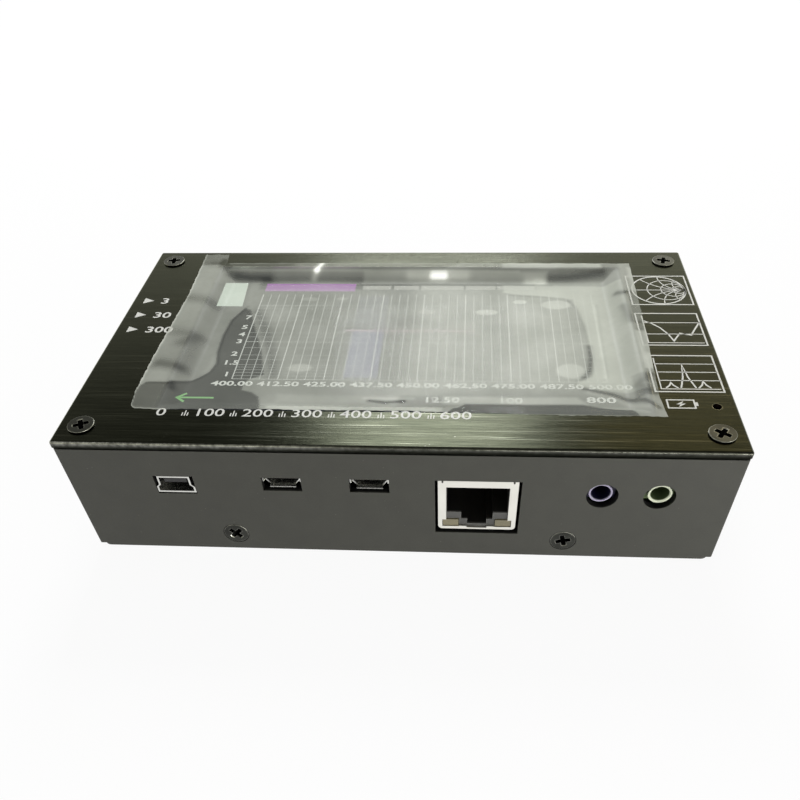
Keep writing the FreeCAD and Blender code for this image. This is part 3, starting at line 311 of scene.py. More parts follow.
# Each finish: the nodes that wear it, its colour, and what differs from the plain one.
finishes = {
    # the case's inside and the cut faces of its holes get painted shade
    "caseCoat": (["case_body"], (0.0365, 0.037, 0.03), dict(shade=0.86, rough=(0.5, 0.66), grain=5200,
        relief=0.006, inside=(65.55, 37.55, wellInside), wearAndHighlight=((0.06, 0.06, 0.052), 0.22, 0.6), dust=0.1,
        specular=0.4)),
    "coverCoat": (["bottom_cover"], (0.0365, 0.037, 0.03), dict(shade=0.82, rough=(0.48, 0.66), grain=5200,
        relief=0.006, wearAndHighlight=((0.12, 0.12, 0.11), 0.25, 0.6), dust=0.12, specular=0.4)),
    # bright edges and rounded faces of the screw heads are painted highlights, their recesses painted shade
    "blackScrew": (["top_screws", "front_screws", "back_screws"], (0.052, 0.053, 0.046), dict(shade=0.5,
        metallic=1.0, rough=(0.24, 0.42), grain=6000, relief=0.006, wearAndHighlight=((0.4, 0.4, 0.36), 0.26, 1.0),
        inside=(wellInside, screwFront, screwTop), turned=(0.42, 0.42, 0.37))),
    "brightShell": (["mini_usb_shell", "left_usb_shell", "right_usb_shell", "charge_usb_shell"],
        (0.74, 0.74, 0.7), dict(shade=0.8, metallic=1.0, rough=(0.2, 0.34), grain=4200, relief=0.002,
        wearAndHighlight=((0.9, 0.9, 0.87), 0.1, 0.5))),
    "tinShield": (["network_shield", "screening_can"], (0.8, 0.79, 0.73), dict(shade=0.9, metallic=1.0,
        rough=(0.3, 0.46), grain=3200, relief=0.003, wearAndHighlight=((0.95, 0.95, 0.92), 0.12, 0.5), dust=0.05)),
    "blackInsert": (["mini_usb_insert", "left_usb_insert", "right_usb_insert", "charge_usb_insert",
        "header_sockets", "header_bases", "reset_button"], (0.014, 0.014, 0.015), dict(shade=0.7,
        rough=(0.42, 0.6), grain=5200)),
    # the socket's inside gets painted shade
    "jackPlastic": (["network_insert"], (0.07, 0.07, 0.066), dict(shade=0.75, rough=(0.45, 0.62), grain=4600,
        wearAndHighlight=((0.2, 0.2, 0.18), 0.25, 0.7), inside=(wellInside, socketFront, wellInside))),
    "goldPlate": (["network_contacts", "header_pins", "antenna_socket", "antenna_contact", "antenna_washer",
        "antenna_nut", "switch_terminals"], (0.8, 0.58, 0.24), dict(shade=0.82, metallic=1.0, rough=(0.2, 0.34),
        relief=0.002)),
    "lampWindow": (["network_lamps"], (0.17, 0.15, 0.085), dict(shade=0.7, rough=(0.22, 0.38), grain=4200,
        relief=0.004, coat=0.4)),
    # the pale rings on these sockets' faces are painted highlights
    "indigoSocket": (["line_in_socket"], (0.007, 0.006, 0.026), dict(shade=0.6, rough=(0.3, 0.46), grain=4600,
        relief=0.004, ring=("line_in_socket", 1.86, 2.0, 0.3, (0.3, 0.28, 0.38)))),
    "greenSocket": (["line_out_socket"], (0.085, 0.125, 0.05), dict(shade=0.6, rough=(0.34, 0.5), grain=4600,
        relief=0.004, ring=("line_out_socket", 1.74, 1.86, 0.3, (0.5, 0.54, 0.41)))),
    "sealFoam": (["screen_seal"], (0.02, 0.02, 0.019), dict(shade=0.6, rough=(0.8, 0.95), grain=6000,
        relief=0.04)),
    "stampedSteel": (["display_frame", "button_bases", "card_socket"], (0.52, 0.53, 0.54), dict(shade=0.8,
        metallic=1.0, rough=(0.34, 0.52), relief=0.003, wearAndHighlight=((0.75, 0.75, 0.75), 0.15, 0.5))),
    "foamTape": (["display_pad", "battery_pad", "charge_pad"], (0.7, 0.7, 0.66), dict(shade=0.85,
        rough=(0.75, 0.9), grain=4000, relief=0.04)),
    "blueBoard": (["main_board"], (0.015, 0.045, 0.17), dict(shade=0.7, rough=(0.28, 0.42), grain=2200,
        relief=0.01, coat=0.3)),
    "greenBoard": (["measuring_board", "charge_board"], (0.012, 0.13, 0.045), dict(shade=0.7,
        rough=(0.28, 0.42), grain=2200, relief=0.01, coat=0.3)),
    "chipPlastic": (["board_chips", "measuring_chips", "charge_chips"], (0.028, 0.028, 0.031), dict(shade=0.7,
        rough=(0.5, 0.66), grain=6000, relief=0.012)),
    "zincSteel": (["panel_studs", "board_nuts"], (0.55, 0.55, 0.52), dict(shade=0.75, metallic=1.0,
        rough=(0.3, 0.5), relief=0.003)),
    "turnedBrass": (["panel_spacers"], (0.68, 0.52, 0.23), dict(shade=0.8, metallic=1.0, rough=(0.24, 0.4),
        relief=0.003)),
    "cardPlastic": (["memory_card"], (0.03, 0.03, 0.033), dict(shade=0.75, rough=(0.42, 0.58), grain=5200)),
    "blueButton": (["user_button"], (0.04, 0.1, 0.42), dict(shade=0.8, rough=(0.4, 0.55))),
    "whiteResin": (["antenna_insulator"], (0.82, 0.82, 0.79), dict(shade=0.9, rough=(0.36, 0.5), relief=0.004)),
    "foilPouch": (["battery_pack"], (0.56, 0.57, 0.58), dict(shade=0.82, metallic=0.85, rough=(0.26, 0.46),
        grain=1400, relief=0.05)),
    "redLens": (["charge_lamp"], (0.16, 0.012, 0.01), dict(shade=0.7, rough=(0.08, 0.18), relief=0.001,
        coat=0.8)),
    "tinnedWire": (["lamp_leads"], (0.68, 0.68, 0.65), dict(shade=0.85, metallic=1.0, rough=(0.3, 0.45),
        relief=0.003)),
    "switchPlastic": (["switch_housing"], (0.02, 0.02, 0.02), dict(shade=0.8, rough=(0.44, 0.6), grain=7000,
        relief=0.016, wearAndHighlight=((0.06, 0.06, 0.06), 0.25, 0.6), dust=0.08)),
    "rockerPlastic": (["switch_rocker"], (0.024, 0.024, 0.024), dict(shade=0.85, rough=(0.3, 0.42), grain=7000,
        relief=0.005, wearAndHighlight=((0.07, 0.07, 0.07), 0.25, 0.6), dust=0.08)),
    "redSleeve": (["red_wires"], (0.45, 0.025, 0.018), dict(shade=0.8, rough=(0.42, 0.56))),
    "blackSleeve": (["black_wires"], (0.018, 0.018, 0.018), dict(shade=0.8, rough=(0.42, 0.56))),
}


def makeFinish(name, colour, changes):
    look = {**plainFinish, **changes}
    material, tree, shader, where = newMaterial(name)
    grain = useGroup(tree, grainGroup, where, {"Scale": look["grain"]})
    darker = tuple(channel * look["shade"] for channel in colour)
    surface = mixColour(tree, grain["Patches"], darker, colour)
    # a painted highlight ring on a socket's face
    if look["ring"]:
        owner, start, end, deep, ringHighlightColour = look["ring"]
        low, high = nodeBox(owner)
        ring = useGroup(tree, ringHighlightGroup, where, {
            "Centre X": (low.x + high.x) / 2 * mm, "Centre Z": (low.z + high.z) / 2 * mm,
            "Start": start * mm, "End": end * mm, "Back": (low.y + deep) * mm})
        surface = mixColour(tree, ring["Mask"], surface, ringHighlightColour)
    # scuffed edges; on the screws a painted highlight
    if look["wearAndHighlight"]:
        wearAndHighlightColour, reach, amount = look["wearAndHighlight"]
        wearAndHighlight = useGroup(tree, wearAndHighlightGroup, where, {"Reach": reach * mm, "Amount": amount})
        surface = mixColour(tree, wearAndHighlight["Mask"], surface, wearAndHighlightColour)
    # painted highlight on rounded and slanted faces
    if look["turned"]:
        _, *facing = splitVector(tree, faceNormal(tree))
        square = mathNode(tree, "MAXIMUM", *(mathNode(tree, "ABSOLUTE", part) for part in facing))
        away = rangeNode(tree, square, *roundedHighlightLook["square"], 1.0, 0.0)
        patchy = rangeNode(tree, noiseNode(tree, where, roundedHighlightLook["patches"]), *roundedHighlightLook["broken"])
        surface = mixColour(tree, product(tree, away, patchy), surface, look["turned"])
    if look["dust"]:
        dust = useGroup(tree, dustGroup, where, {"Amount": look["dust"]})
        surface = mixColour(tree, dust["Mask"], surface, look["dustColour"])
    # painted shade inside the case, in the screw recesses and in the network socket
    if look["inside"]:
        halfX, halfY, top = look["inside"]
        inside = useGroup(tree, insideShadeGroup, where, {
            "Half X": halfX * mm, "Half Y": halfY * mm, "Top": top * mm})
        surface = mixColour(tree, inside["Mask"], surface, look["insideShadeColour"])
    feed(tree, shader, {
        "Base Color": surface, "Roughness": rangeNode(tree, grain["Height"], 0.25, 0.75, *look["rough"]),
        "Metallic": look["metallic"], "Coat Weight": look["coat"], "Specular IOR Level": look["specular"]})
    addBump(tree, shader, grain["Height"], look["relief"])
    return material


def dress(material, *names):
    for name in names:
        slots = nodes[name].data.materials
        slots.clear()
        slots.append(material)


for finishName, (wearers, finishColour, finishChanges) in finishes.items():
    dress(makeFinish(finishName, finishColour, finishChanges), *wearers)
print("finishes made:", len(finishes))


panelLook = {
    "dark": (0.0022, 0.0030, 0.0010),
    "light": (0.0150, 0.0162, 0.0098),
    "streak": (0.0560, 0.0580, 0.0440),
    # scuffed edges, with a painted highlight on them
    "edge": (0.34, 0.34, 0.30),
    # painted highlight on the rounded upper edge and the upper side
    "edgeHighlight": (0.42, 0.42, 0.38),
    "dustColour": (0.40, 0.39, 0.36),
    "tint": (0.98, 0.99, 0.92),
    "fineLines": (5200.0, 0.010),       # lines per metre, length of a stroke in metres
    "longLines": (2600.0, 0.03),
    "wearAndHighlightReach": 0.30,
    "windowFront": -27.5,
    "windowDark": (0.6, 0.9),
    "streakFrom": (0.57, 0.76),
    "wearAndHighlightBroken": (0.35, 0.6, 0.45, 1.0),
    "edgeHighlightPatches": 1100.0,
    "edgeHighlightBroken": (0.34, 0.62, 0.35, 1.0),
    "upright": (0.20, 0.40),            # how far up a face looks: sides, then the flat top
    "flat": (0.90, 0.97),
    # painted highlight on the upper side, painted shade toward its bottom
    "sideHighlight": (0.05, 0.55),
    "sideDark": 0.96,
    "edgeHighlightFrom": (-24.0, -4.0),
    "edgeHighlightRight": 0.12,                # what is left of the painted highlight right of where it fades
    "sideRight": 0.45,
    "sideDepth": (1.4, 0.45),
    "dust": 0.10,
    "relief": 0.014,
    "rough": (0.17, 0.27),
}


def panelMaterial():
    material, tree, shader, where = newMaterial("brushedPanel")
    x, y, z = splitVector(tree, where)
    up = splitVector(tree, faceNormal(tree))[2]

    def lines(key):
        perMetre, stroke = panelLook[key]
        return useGroup(tree, brushGroup, where, {"Lines Per Metre": perMetre, "Stroke": stroke})

    brushing = lines("fineLines")
    ridges = spreadNoise(tree, brushing["Lines"])
    surface = mixColour(tree, ridges, panelLook["dark"], panelLook["light"])
    streaks = rangeNode(tree, lines("longLines")["Lines"], *panelLook["streakFrom"])
    surface = mixColour(tree, streaks, surface, panelLook["streak"])

    # scuffed edges with a painted highlight on them; the window's front side is covered by the film and stays
    # dark
    wearAndHighlight = useGroup(tree, wearAndHighlightGroup, where, {"Reach": panelLook["wearAndHighlightReach"] * mm})
    near, far = panelLook["windowDark"]
    fromFront = mathNode(tree, "ABSOLUTE", mathNode(tree, "SUBTRACT", y, panelLook["windowFront"] * mm))
    wornAndHighlit = product(tree, wearAndHighlight["Mask"], rangeNode(tree, brushing["Bands"], *panelLook["wearAndHighlightBroken"]),
                   rangeNode(tree, fromFront, near * mm, far * mm))
    surface = mixColour(tree, wornAndHighlit, surface, panelLook["edge"])

    # painted highlight on the rounded upper edge and the side below it, less so on the right
    left, right = (place * mm for place in panelLook["edgeHighlightFrom"])
    deep, shallow = ((panelTop - depth) * mm for depth in panelLook["sideDepth"])
    upright = rangeNode(tree, up, *panelLook["upright"], 1.0, 0.0)
    rounded = product(tree, rangeNode(tree, up, *panelLook["upright"]),
                      rangeNode(tree, up, *panelLook["flat"], 1.0, 0.0),
                      rangeNode(tree, x, left, right, 1.0, panelLook["edgeHighlightRight"]))
    side = product(tree, upright, rangeNode(tree, z, deep, shallow, *panelLook["sideHighlight"]),
                   rangeNode(tree, x, left, right, 1.0, panelLook["sideRight"]))
    patches = noiseNode(tree, where, panelLook["edgeHighlightPatches"], detail=5)
    broken = rangeNode(tree, patches, *panelLook["edgeHighlightBroken"])
    paintedEdgeHighlight = product(tree, mathNode(tree, "MAXIMUM", rounded, side), broken)
    surface = mixColour(tree, paintedEdgeHighlight, surface, panelLook["edgeHighlight"])
    # painted shade: the side darkens downward
    paintedSideShade = product(tree, upright, rangeNode(tree, z, deep, shallow, panelLook["sideDark"], 0.0))
    surface = mixColour(tree, paintedSideShade, surface, panelLook["dark"])

    dust = useGroup(tree, dustGroup, where, {"Amount": panelLook["dust"]})
    feed(tree, shader, {
        "Base Color": mixColour(tree, dust["Mask"], surface, panelLook["dustColour"]),
        "Roughness": spreadNoise(tree, brushing["Bands"], *panelLook["rough"]),
        "Metallic": 1.0, "Specular Tint": panelLook["tint"]})
    addBump(tree, shader, brushing["Lines"], panelLook["relief"])
    return material


dress(panelMaterial(), "top_panel")
print("panel finished")


def rectangle(left, right, low, high):
    return [(left, low), (right, low), (right, high), (left, high)]


class flatDrawing:
    # collects flat polygons in millimetres and turns them into one thin piece
    def __init__(self):
        self.points = []
        self.faces = []

    def polygon(self, corners):
        start = len(self.points)
        self.points += [tuple(corner) for corner in corners]
        self.faces.append(tuple(range(start, start + len(corners))))

    def box(self, left, right, low, high):
        self.polygon(rectangle(left, right, low, high))

    def line(self, path, width, closed=False):
        # a ribbon with mitred corners
        path = [Vector(point) for point in path]
        runs = [(after - here).normalized() for here, after in zip(path, path[1:] + path[:1])]
        if not closed:
            runs[-1] = runs[-2]
        sides = []
        for index, here in enumerate(path):
            out = runs[index]
            into = runs[index - 1] if index or closed else out
            normal = Vector((-into.y - out.y, into.x + out.x)).normalized()
            reach = width / 2 / max(0.35, normal.dot(Vector((-into.y, into.x))))
            sides.append((here + normal * reach, here - normal * reach))
        following = sides[1:] + sides[:1] if closed else sides[1:]
        for (left, right), (nextLeft, nextRight) in zip(sides, following):
            self.polygon([right, nextRight, nextLeft, left])

    def figures(self, text, place, size, stretch=1.0, centred=False, weight=0.0):
        # plain upright figures in Blender's own face
        curve = bpy.data.curves.new("figures", "FONT")
        curve.body = text
        curve.size = size
        curve.resolution_u = 3
        curve.fill_mode = "FRONT"
        curve.offset = weight
        if centred:
            curve.align_x = "CENTER"
        holder = addObject("figures", curve)
        bpy.context.view_layer.update()
        flat = bpy.data.meshes.new_from_object(holder.evaluated_get(bpy.context.evaluated_depsgraph_get()))
        start = len(self.points)
        self.points += [(vertex.co.x * stretch + place[0], vertex.co.y + place[1]) for vertex in flat.vertices]
        self.faces += [tuple(start + index for index in face.vertices) for face in flat.polygons]
        bpy.data.objects.remove(holder)
        bpy.data.curves.remove(curve)
        bpy.data.meshes.remove(flat)

    def mesh(self, name, height):
        data = bpy.data.meshes.new(name)
        data.from_pydata([(x * mm, y * mm, height * mm) for x, y in self.points], [], self.faces)
        return data


def addPiece(name, mesh, material, body):
    piece = addObject(name, mesh)
    mesh.materials.append(material)
    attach(piece, body)
    return piece


def arcPoints(centre, radius, startDegrees, endDegrees, steps):
    turns = np.radians(np.linspace(startDegrees, endDegrees, steps))
    return [(centre[0] + radius * math.cos(turn), centre[1] + radius * math.sin(turn)) for turn in turns]


inkLook = {
    "colour": (0.70, 0.70, 0.65),
    "shade": 0.75,
    "grain": 5200.0,
    "rough": (0.45, 0.6),
    "relief": 0.004,
    "lift": 0.015,
    "stroke": 0.34,
    "fineStroke": 0.24,
}


def inkMaterial():
    material, tree, shader, where = newMaterial("screenPrintInk")
    height = useGroup(tree, grainGroup, where, {"Scale": inkLook["grain"]})["Height"]
    thin = tuple(channel * inkLook["shade"] for channel in inkLook["colour"])
    feed(tree, shader, {
        "Base Color": mixColour(tree, height, thin, inkLook["colour"]),
        "Roughness": spreadNoise(tree, height, *inkLook["rough"])})
    addBump(tree, shader, height, inkLook["relief"])
    return material


ink = inkMaterial()


def addPrint(name, drawing):
    addPiece(name, drawing.mesh(name, panelTop + inkLook["lift"]), ink, "case")


bandMarks = {
    "numbers": {"3": 13.8, "30": 7.57, "300": 1.42},    # and the height of each row
    "arrowX": (-63.2, -60.8),
    "arrowHalf": 1.2,
    "numberX": -59.1,
    "drop": 1.18,
    "style": {"size": 3.3, "stretch": 1.3, "weight": 0.05},
}


def drawBandMarks():
    drawing = flatDrawing()
    left, tip = bandMarks["arrowX"]
    half = bandMarks["arrowHalf"]
    for text, y in bandMarks["numbers"].items():
        drawing.polygon([(left, y - half), (tip, y), (left, y + half)])
        drawing.figures(text, (bandMarks["numberX"], y - bandMarks["drop"]), **bandMarks["style"])
    addPrint("bandMarks", drawing)


rangeScale = {
    "numbers": ("0", "100", "200", "300", "400", "500", "600"),
    "firstX": -46.6, "lastX": 11.8, "low": -29.35,
    "style": {"size": 3.3, "stretch": 1.28, "weight": 0.02, "centred": True},
    # ticks: share of the way to the next number, and height
    "ticks": ((0.455, 1.0), (0.51, 1.7), (0.565, 1.0)), "tickHalf": 0.12,
}


def drawRangeScale():
    drawing = flatDrawing()
    low, half = rangeScale["low"], rangeScale["tickHalf"]
    spots = np.linspace(rangeScale["firstX"], rangeScale["lastX"], len(rangeScale["numbers"]))
    for spot, text in zip(spots, rangeScale["numbers"]):
        drawing.figures(text, (spot, low), **rangeScale["style"])
    step = spots[1] - spots[0]
    for spot in spots[:-1]:
        for share, tall in rangeScale["ticks"]:
            x = spot + step * share
            drawing.box(x - half, x + half, low, low + tall)
    addPrint("rangeScale", drawing)


chargeSign = {
    "sides": (52.81, 57.96, -25.07, -22.52),
    "stroke": 0.32,
    "knob": (0.14, 0.65, 0.55),     # start and end past the right side, half height
    # one half of the flash, from the sign's middle and in from its upper side
    "flash": (0.55, 0.35, -0.95, 0.02, 0.12),
}


def drawChargeSign():
    # a plain battery with a flash
    drawing = flatDrawing()
    left, right, low, high = chargeSign["sides"]
    drawing.line(rectangle(left, right, low, high), chargeSign["stroke"], closed=True)
    x, middle = (left + right) / 2, (low + high) / 2
    start, end, half = chargeSign["knob"]
    drawing.box(right + start, right + end, middle - half, middle + half)
    tip, inward, outer, inner, rise = chargeSign["flash"]
    for side, edge in ((1, high), (-1, low)):
        drawing.polygon([(x + tip * side, edge - inward * side), (x + outer * side, middle - rise * side),
                         (x + inner * side, middle - rise * side)])
    addPrint("chargeSign", drawing)


charts = {
    # sides are left, right, low and high; levels, paths and peaks are shares of them
    "impedance": {
        "sides": (51.22, 64.82, 12.85, 25.75), "margin": (0.75, 0.35),
        "resistances": (0.4, 1.2, 3.0), "reactances": (0.5, 1.1, 2.4)},
    "notch": {
        "sides": (51.13, 64.61, -3.53, 9.05), "levels": (0.34, 0.70),
        "path": [(0.10, 0.76), (0.22, 0.68), (0.34, 0.54), (0.44, 0.34), (0.50, 0.13), (0.56, 0.24),
                 (0.63, 0.37), (0.72, 0.33), (0.80, 0.31), (0.90, 0.52), (1.0, 0.72)]},
    "spectrum": {
        "sides": (51.13, 64.50, -19.87, -7.41), "levels": (0.30, 0.53, 0.76),
        # middle, half width and top of each peak
        "peaks": ((0.26, 0.09, 0.24), (0.50, 0.11, 0.74), (0.74, 0.09, 0.28)),
        "foot": 0.10, "waist": (0.35, 0.45)},
    # second lines: in from the left, from above and below, and from the right
    "axes": (1.3, 0.9, 0.5),
}


def drawImpedanceChart():
    drawing = flatDrawing()
    chart = charts["impedance"]
    left, right, low, high = chart["sides"]
    drawing.line(rectangle(*chart["sides"]), inkLook["stroke"], closed=True)
    middleX, middleY = (left + right) / 2, (low + high) / 2
    wide, tall = (right - left) / 2 - chart["margin"][0], (high - low) / 2 - chart["margin"][1]

    def draw(path, stroke="fineStroke", closed=False):
        drawing.line([(middleX + x * wide, middleY + y * tall) for x, y in path], inkLook[stroke], closed)

    draw(arcPoints((0, 0), 1, 0, 355, 72), "stroke", closed=True)
    for resistance in chart["resistances"]:
        radius = 1 / (1 + resistance)
        draw(arcPoints((1 - radius, 0), radius, 0, 352, 46), closed=True)
    for reactance in chart["reactances"]:
        radius = 1 / reactance
        reach = math.degrees(2 * math.atan(1 / radius))
        for side in (1, -1):
            draw(arcPoints((1, side * radius), radius, -90 * side, (-90 - reach) * side, 26))
    draw([(-1, 0), (1, 0)])
    addPrint("impedanceChart", drawing)


def drawPlot(name, key, paths):
    # a frame, a second line inside its left and lower sides, level lines and curves
    drawing = flatDrawing()
    left, right, low, high = charts[key]["sides"]
    wide, tall = right - left, high - low
    inset, ends, short = charts["axes"]
    drawing.line(rectangle(left, right, low, high), inkLook["stroke"], closed=True)
    drawing.line([(left + inset, high - ends), (left + inset, low + ends), (right - short, low + ends)],
                 inkLook["fineStroke"])
    for level in charts[key]["levels"]:
        drawing.line([(left + inset, low + tall * level), (right, low + tall * level)], inkLook["fineStroke"])
    for path in paths:
        drawing.line([(left + x * wide, low + y * tall) for x, y in path], inkLook["stroke"])
    addPrint(name, drawing)


def peakPath(middle, half, top):
    foot = charts["spectrum"]["foot"]
    share, rise = charts["spectrum"]["waist"]
    waist = foot + (top - foot) * rise
    return [(middle - half, foot), (middle - half * share, waist), (middle, top),
            (middle + half * share, waist), (middle + half, foot)]


drawBandMarks()
drawRangeScale()
drawChargeSign()
drawImpedanceChart()
drawPlot("notchChart", "notch", [charts["notch"]["path"]])
drawPlot("spectrumChart", "spectrum", [peakPath(*peak) for peak in charts["spectrum"]["peaks"]])
print("panel print drawn")


rockerMarks = {"offset": 3.0, "height": 1.7, "stroke": 0.42, "ringShare": 0.8, "lift": 0.03}


def drawRockerMarks():
    # a stroke on one half of the rocker and a ring on the other, laid on its slanted faces
    low, high = nodeBox("switch_rocker")
    middleY, middleZ = (low.y + high.y) / 2, (low.z + high.z) / 2
    half, halfStroke = rockerMarks["height"] / 2, rockerMarks["stroke"] / 2
    drawing = flatDrawing()
    near, far = middleY - rockerMarks["offset"], middleY + rockerMarks["offset"]
    drawing.box(near - halfStroke, near + halfStroke, middleZ - half, middleZ + half)
    drawing.line(arcPoints((far, middleZ), half * rockerMarks["ringShare"], 0, 345, 24), rockerMarks["stroke"],
                 closed=True)
    rockerMesh = nodes["switch_rocker"].data
    skin = BVHTree.FromPolygons([vertex.co for vertex in rockerMesh.vertices],
                                [tuple(face.vertices) for face in rockerMesh.polygons])
    points = []
    for y, z in drawing.points:
        hit = skin.ray_cast(Vector(((high.x + 5) * mm, y * mm, z * mm)), Vector((-1, 0, 0)))
        points.append(hit[0] + hit[1].normalized() * rockerMarks["lift"] * mm)
    data = bpy.data.meshes.new("rockerMarks")
    data.from_pydata(points, [], drawing.faces)
    addPiece("rockerMarks", data, ink, "rocker")


drawRockerMarks()


antennaThread = {
    "bare": 3.175,      # radius of the smooth barrel
    "pitch": 0.7056, "crest": 0.13, "width": 0.52, "sink": 0.03,
    "steps": 36, "fadeSteps": 12, "margin": 0.35,
}


def cutThread():
    # the ridge of a fine screw thread, wound round the antenna socket's barrel
    pinLow, pinHigh = nodeBox("antenna_contact")
    axisY, axisZ = (pinLow.y + pinHigh.y) / 2, (pinLow.z + pinHigh.z) / 2
    margin, pitch, steps = (antennaThread[key] for key in ("margin", "pitch", "steps"))
    start = nodeBox("antenna_socket")[0].x + margin
    count = int((nodeBox("antenna_nut")[0].x - margin - start) / pitch * steps)
    points, faces = [], []
    for index in range(count + 1):
        angle = 2 * math.pi * index / steps
        x = start + pitch * index / steps
        fade = min(1.0, index / antennaThread["fadeSteps"], (count - index) / antennaThread["fadeSteps"])
        for shift, rise in ((-0.5, -antennaThread["sink"]), (0.0, antennaThread["crest"] * fade),
                            (0.5, -antennaThread["sink"])):
            reach = antennaThread["bare"] + rise
            points.append(((x + shift * antennaThread["width"]) * mm, (axisY + reach * math.cos(angle)) * mm,
                           (axisZ + reach * math.sin(angle)) * mm))
    for first in range(0, count * 3, 3):
        for side, beside in ((0, 1), (1, 2), (2, 0)):
            faces.append((first + side, first + beside, first + beside + 3, first + side + 3))
    last = count * 3
    faces += [(0, 2, 1), (last, last + 1, last + 2)]
    data = bpy.data.meshes.new("antennaThread")
    data.from_pydata(points, [], faces)
    addPiece("antennaThread", data, nodes["antenna_socket"].data.materials[0], "case")


cutThread()
print("switch marks and antenna thread made")


picture = {
    # places in millimetres, on the display's face
    "pixel": 0.198,
    "plotX": -36.27,
    "plotY": -13.45,
    "plotHigh": 21.4,
    "columns": 8,
    "columnDots": 50,
    "finePerColumn": 5,
    "decadeDots": 150,                  # height of the plot for a tenfold level
    "levels": (1, 1.1, 1.2, 1.3, 1.4, 1.5, 1.75, 2, 2.5, 3, 3.5, 4, 5, 6, 7, 8, 9, 10),
    "strongLevels": (1, 3, 10),
    "columnHalf": (0.62, 0.45),     # half widths in pixels, of strong and of fine lines
    "levelHalf": (0.35, 0.24),
    "firstFigure": 400,
    "figureStep": 12.5,
    "figureY": -15.0,
    "sideFigures": {"7": 11.0, "5": 6.8, "4": 3.8, "3": 0.9, "2": -4.0, "1.5": -7.4, "1": -11.7},
    "sideX": -37.8,
    "figureShift": 0.4,
    "figureDrop": 0.8,
    "figureStretch": (1.5, 1.35),   # of the lower and of the side figures
    "figureStyle": {"size": 2.2, "centred": True, "weight": 0.06},
    "lift": 0.03,
}

displayColours = {
    "displayWhite": (0.60, 0.70, 0.60),
    "displayFigures": (0.66, 0.68, 0.63),
    "displayLines": (0.56, 0.58, 0.54),
    "displayFineLines": (0.42, 0.44, 0.41),
    "displayPurple": (0.30, 0.05, 0.38),
    "displayGrey": (0.34, 0.34, 0.31),
    "displayGreen": (0.18, 0.44, 0.15),
    "displayBlue": (0.05, 0.05, 0.17),
    "displayFaintBlue": (0.022, 0.022, 0.052),
    "displayPink": (0.50, 0.30, 0.38),
}

# Each piece of the picture beside the plot: colour, height over the rest, and its shapes.
displayPieces = {
    "cornerBlock": ("displayWhite", 0.0, [
        ("polygon", [(-46.8, 15.9), (-40.4, 15.8), (-41.2, 26.8), (-47.0, 26.9)])]),
    "purpleBar": ("displayPurple", 0.0, [("box", -36.3, -13.9, 22.95, 26.55)]),
    "paleBars": ("displayGrey", 0.0, [("box", left, right, 23.8, 25.6) for left, right in (
        (-12.1, -5.1), (-4.4, 1.7), (2.3, 12.7), (13.2, 20.5), (20.8, 29.9))]),
    "blueBand": ("displayBlue", -0.02, [("box", -12.4, -5.2, -12.6, 5.6)]),
    "faintBlueBand": ("displayFaintBlue", -0.02, [("box", -12.4, -5.2, 5.6, 20.6)]),
    "pinkTrace": ("displayPink", 0.01, [("line", [(-14.2, 5.5), (-5.0, 5.4), (4.0, 5.6), (15.5, 5.4)], 0.5)]),
    "backArrow": ("displayGreen", 0.0, [
        ("line", [(-44.6, -21.5), (-46.4, -20.1), (-44.6, -18.7)], 0.55),
        ("line", [(-46.2, -20.1), (-38.6, -20.1)], 0.55)]),
    "lowerFigures": ("displayFigures", 0.0, [
        ("figures", text, place, 2.5, stretch, False, 0.05) for text, place, stretch in (
            ("12.50", (5.0, -20.8), 1.35), ("100", (20.2, -20.8), 1.35), ("800", (38.0, -20.3), 1.6))]),
}


# Lit cells of the picture, the dark face behind them and the glass over it. Patterns are per metre.
glowLook = {"shade": 0.82, "cells": 9000.0, "base": (0.02, 0.02, 0.02), "rough": 0.4}
faceLook = {
    "dark": (0.018, 0.020, 0.022), "light": (0.032, 0.034, 0.037), "base": (0.015, 0.016, 0.018),
    "glow": 0.6, "patches": 45.0, "rough": (0.15, 0.3), "specular": 0.1,
}
glassLook = {"tint": (0.95, 0.97, 0.96), "bend": 1.06, "smears": 130.0, "rough": (0.0, 0.03)}


def glowMaterial(name, colour):
    material, tree, shader, where = newMaterial(name)
    dim = tuple(channel * glowLook["shade"] for channel in colour)
    cells = noiseNode(tree, where, glowLook["cells"], detail=2)
    feed(tree, shader, {
        "Emission Color": mixColour(tree, cells, dim, colour), "Emission Strength": 1.0,
        "Base Color": glowLook["base"], "Roughness": glowLook["rough"], "Specular IOR Level": 0.0})
    return material


def faceMaterial():
    material, tree, shader, where = newMaterial("displayFace")
    patches = noiseNode(tree, where, faceLook["patches"], detail=3)
    feed(tree, shader, {
        "Emission Color": mixColour(tree, patches, faceLook["dark"], faceLook["light"]),
        "Emission Strength": faceLook["glow"], "Base Color": faceLook["base"],
        "Roughness": spreadNoise(tree, patches, *faceLook["rough"]),
        "Specular IOR Level": faceLook["specular"]})
    return material


def glassMaterial():
    material, tree, shader, where = newMaterial("touchGlass")
    smears = noiseNode(tree, where, glassLook["smears"], detail=5)
    feed(tree, shader, {
        "Roughness": rangeNode(tree, smears, 0.35, 0.7, *glassLook["rough"]), "Base Color": glassLook["tint"],
        "Transmission Weight": 1.0, "IOR": glassLook["bend"]})
    return material


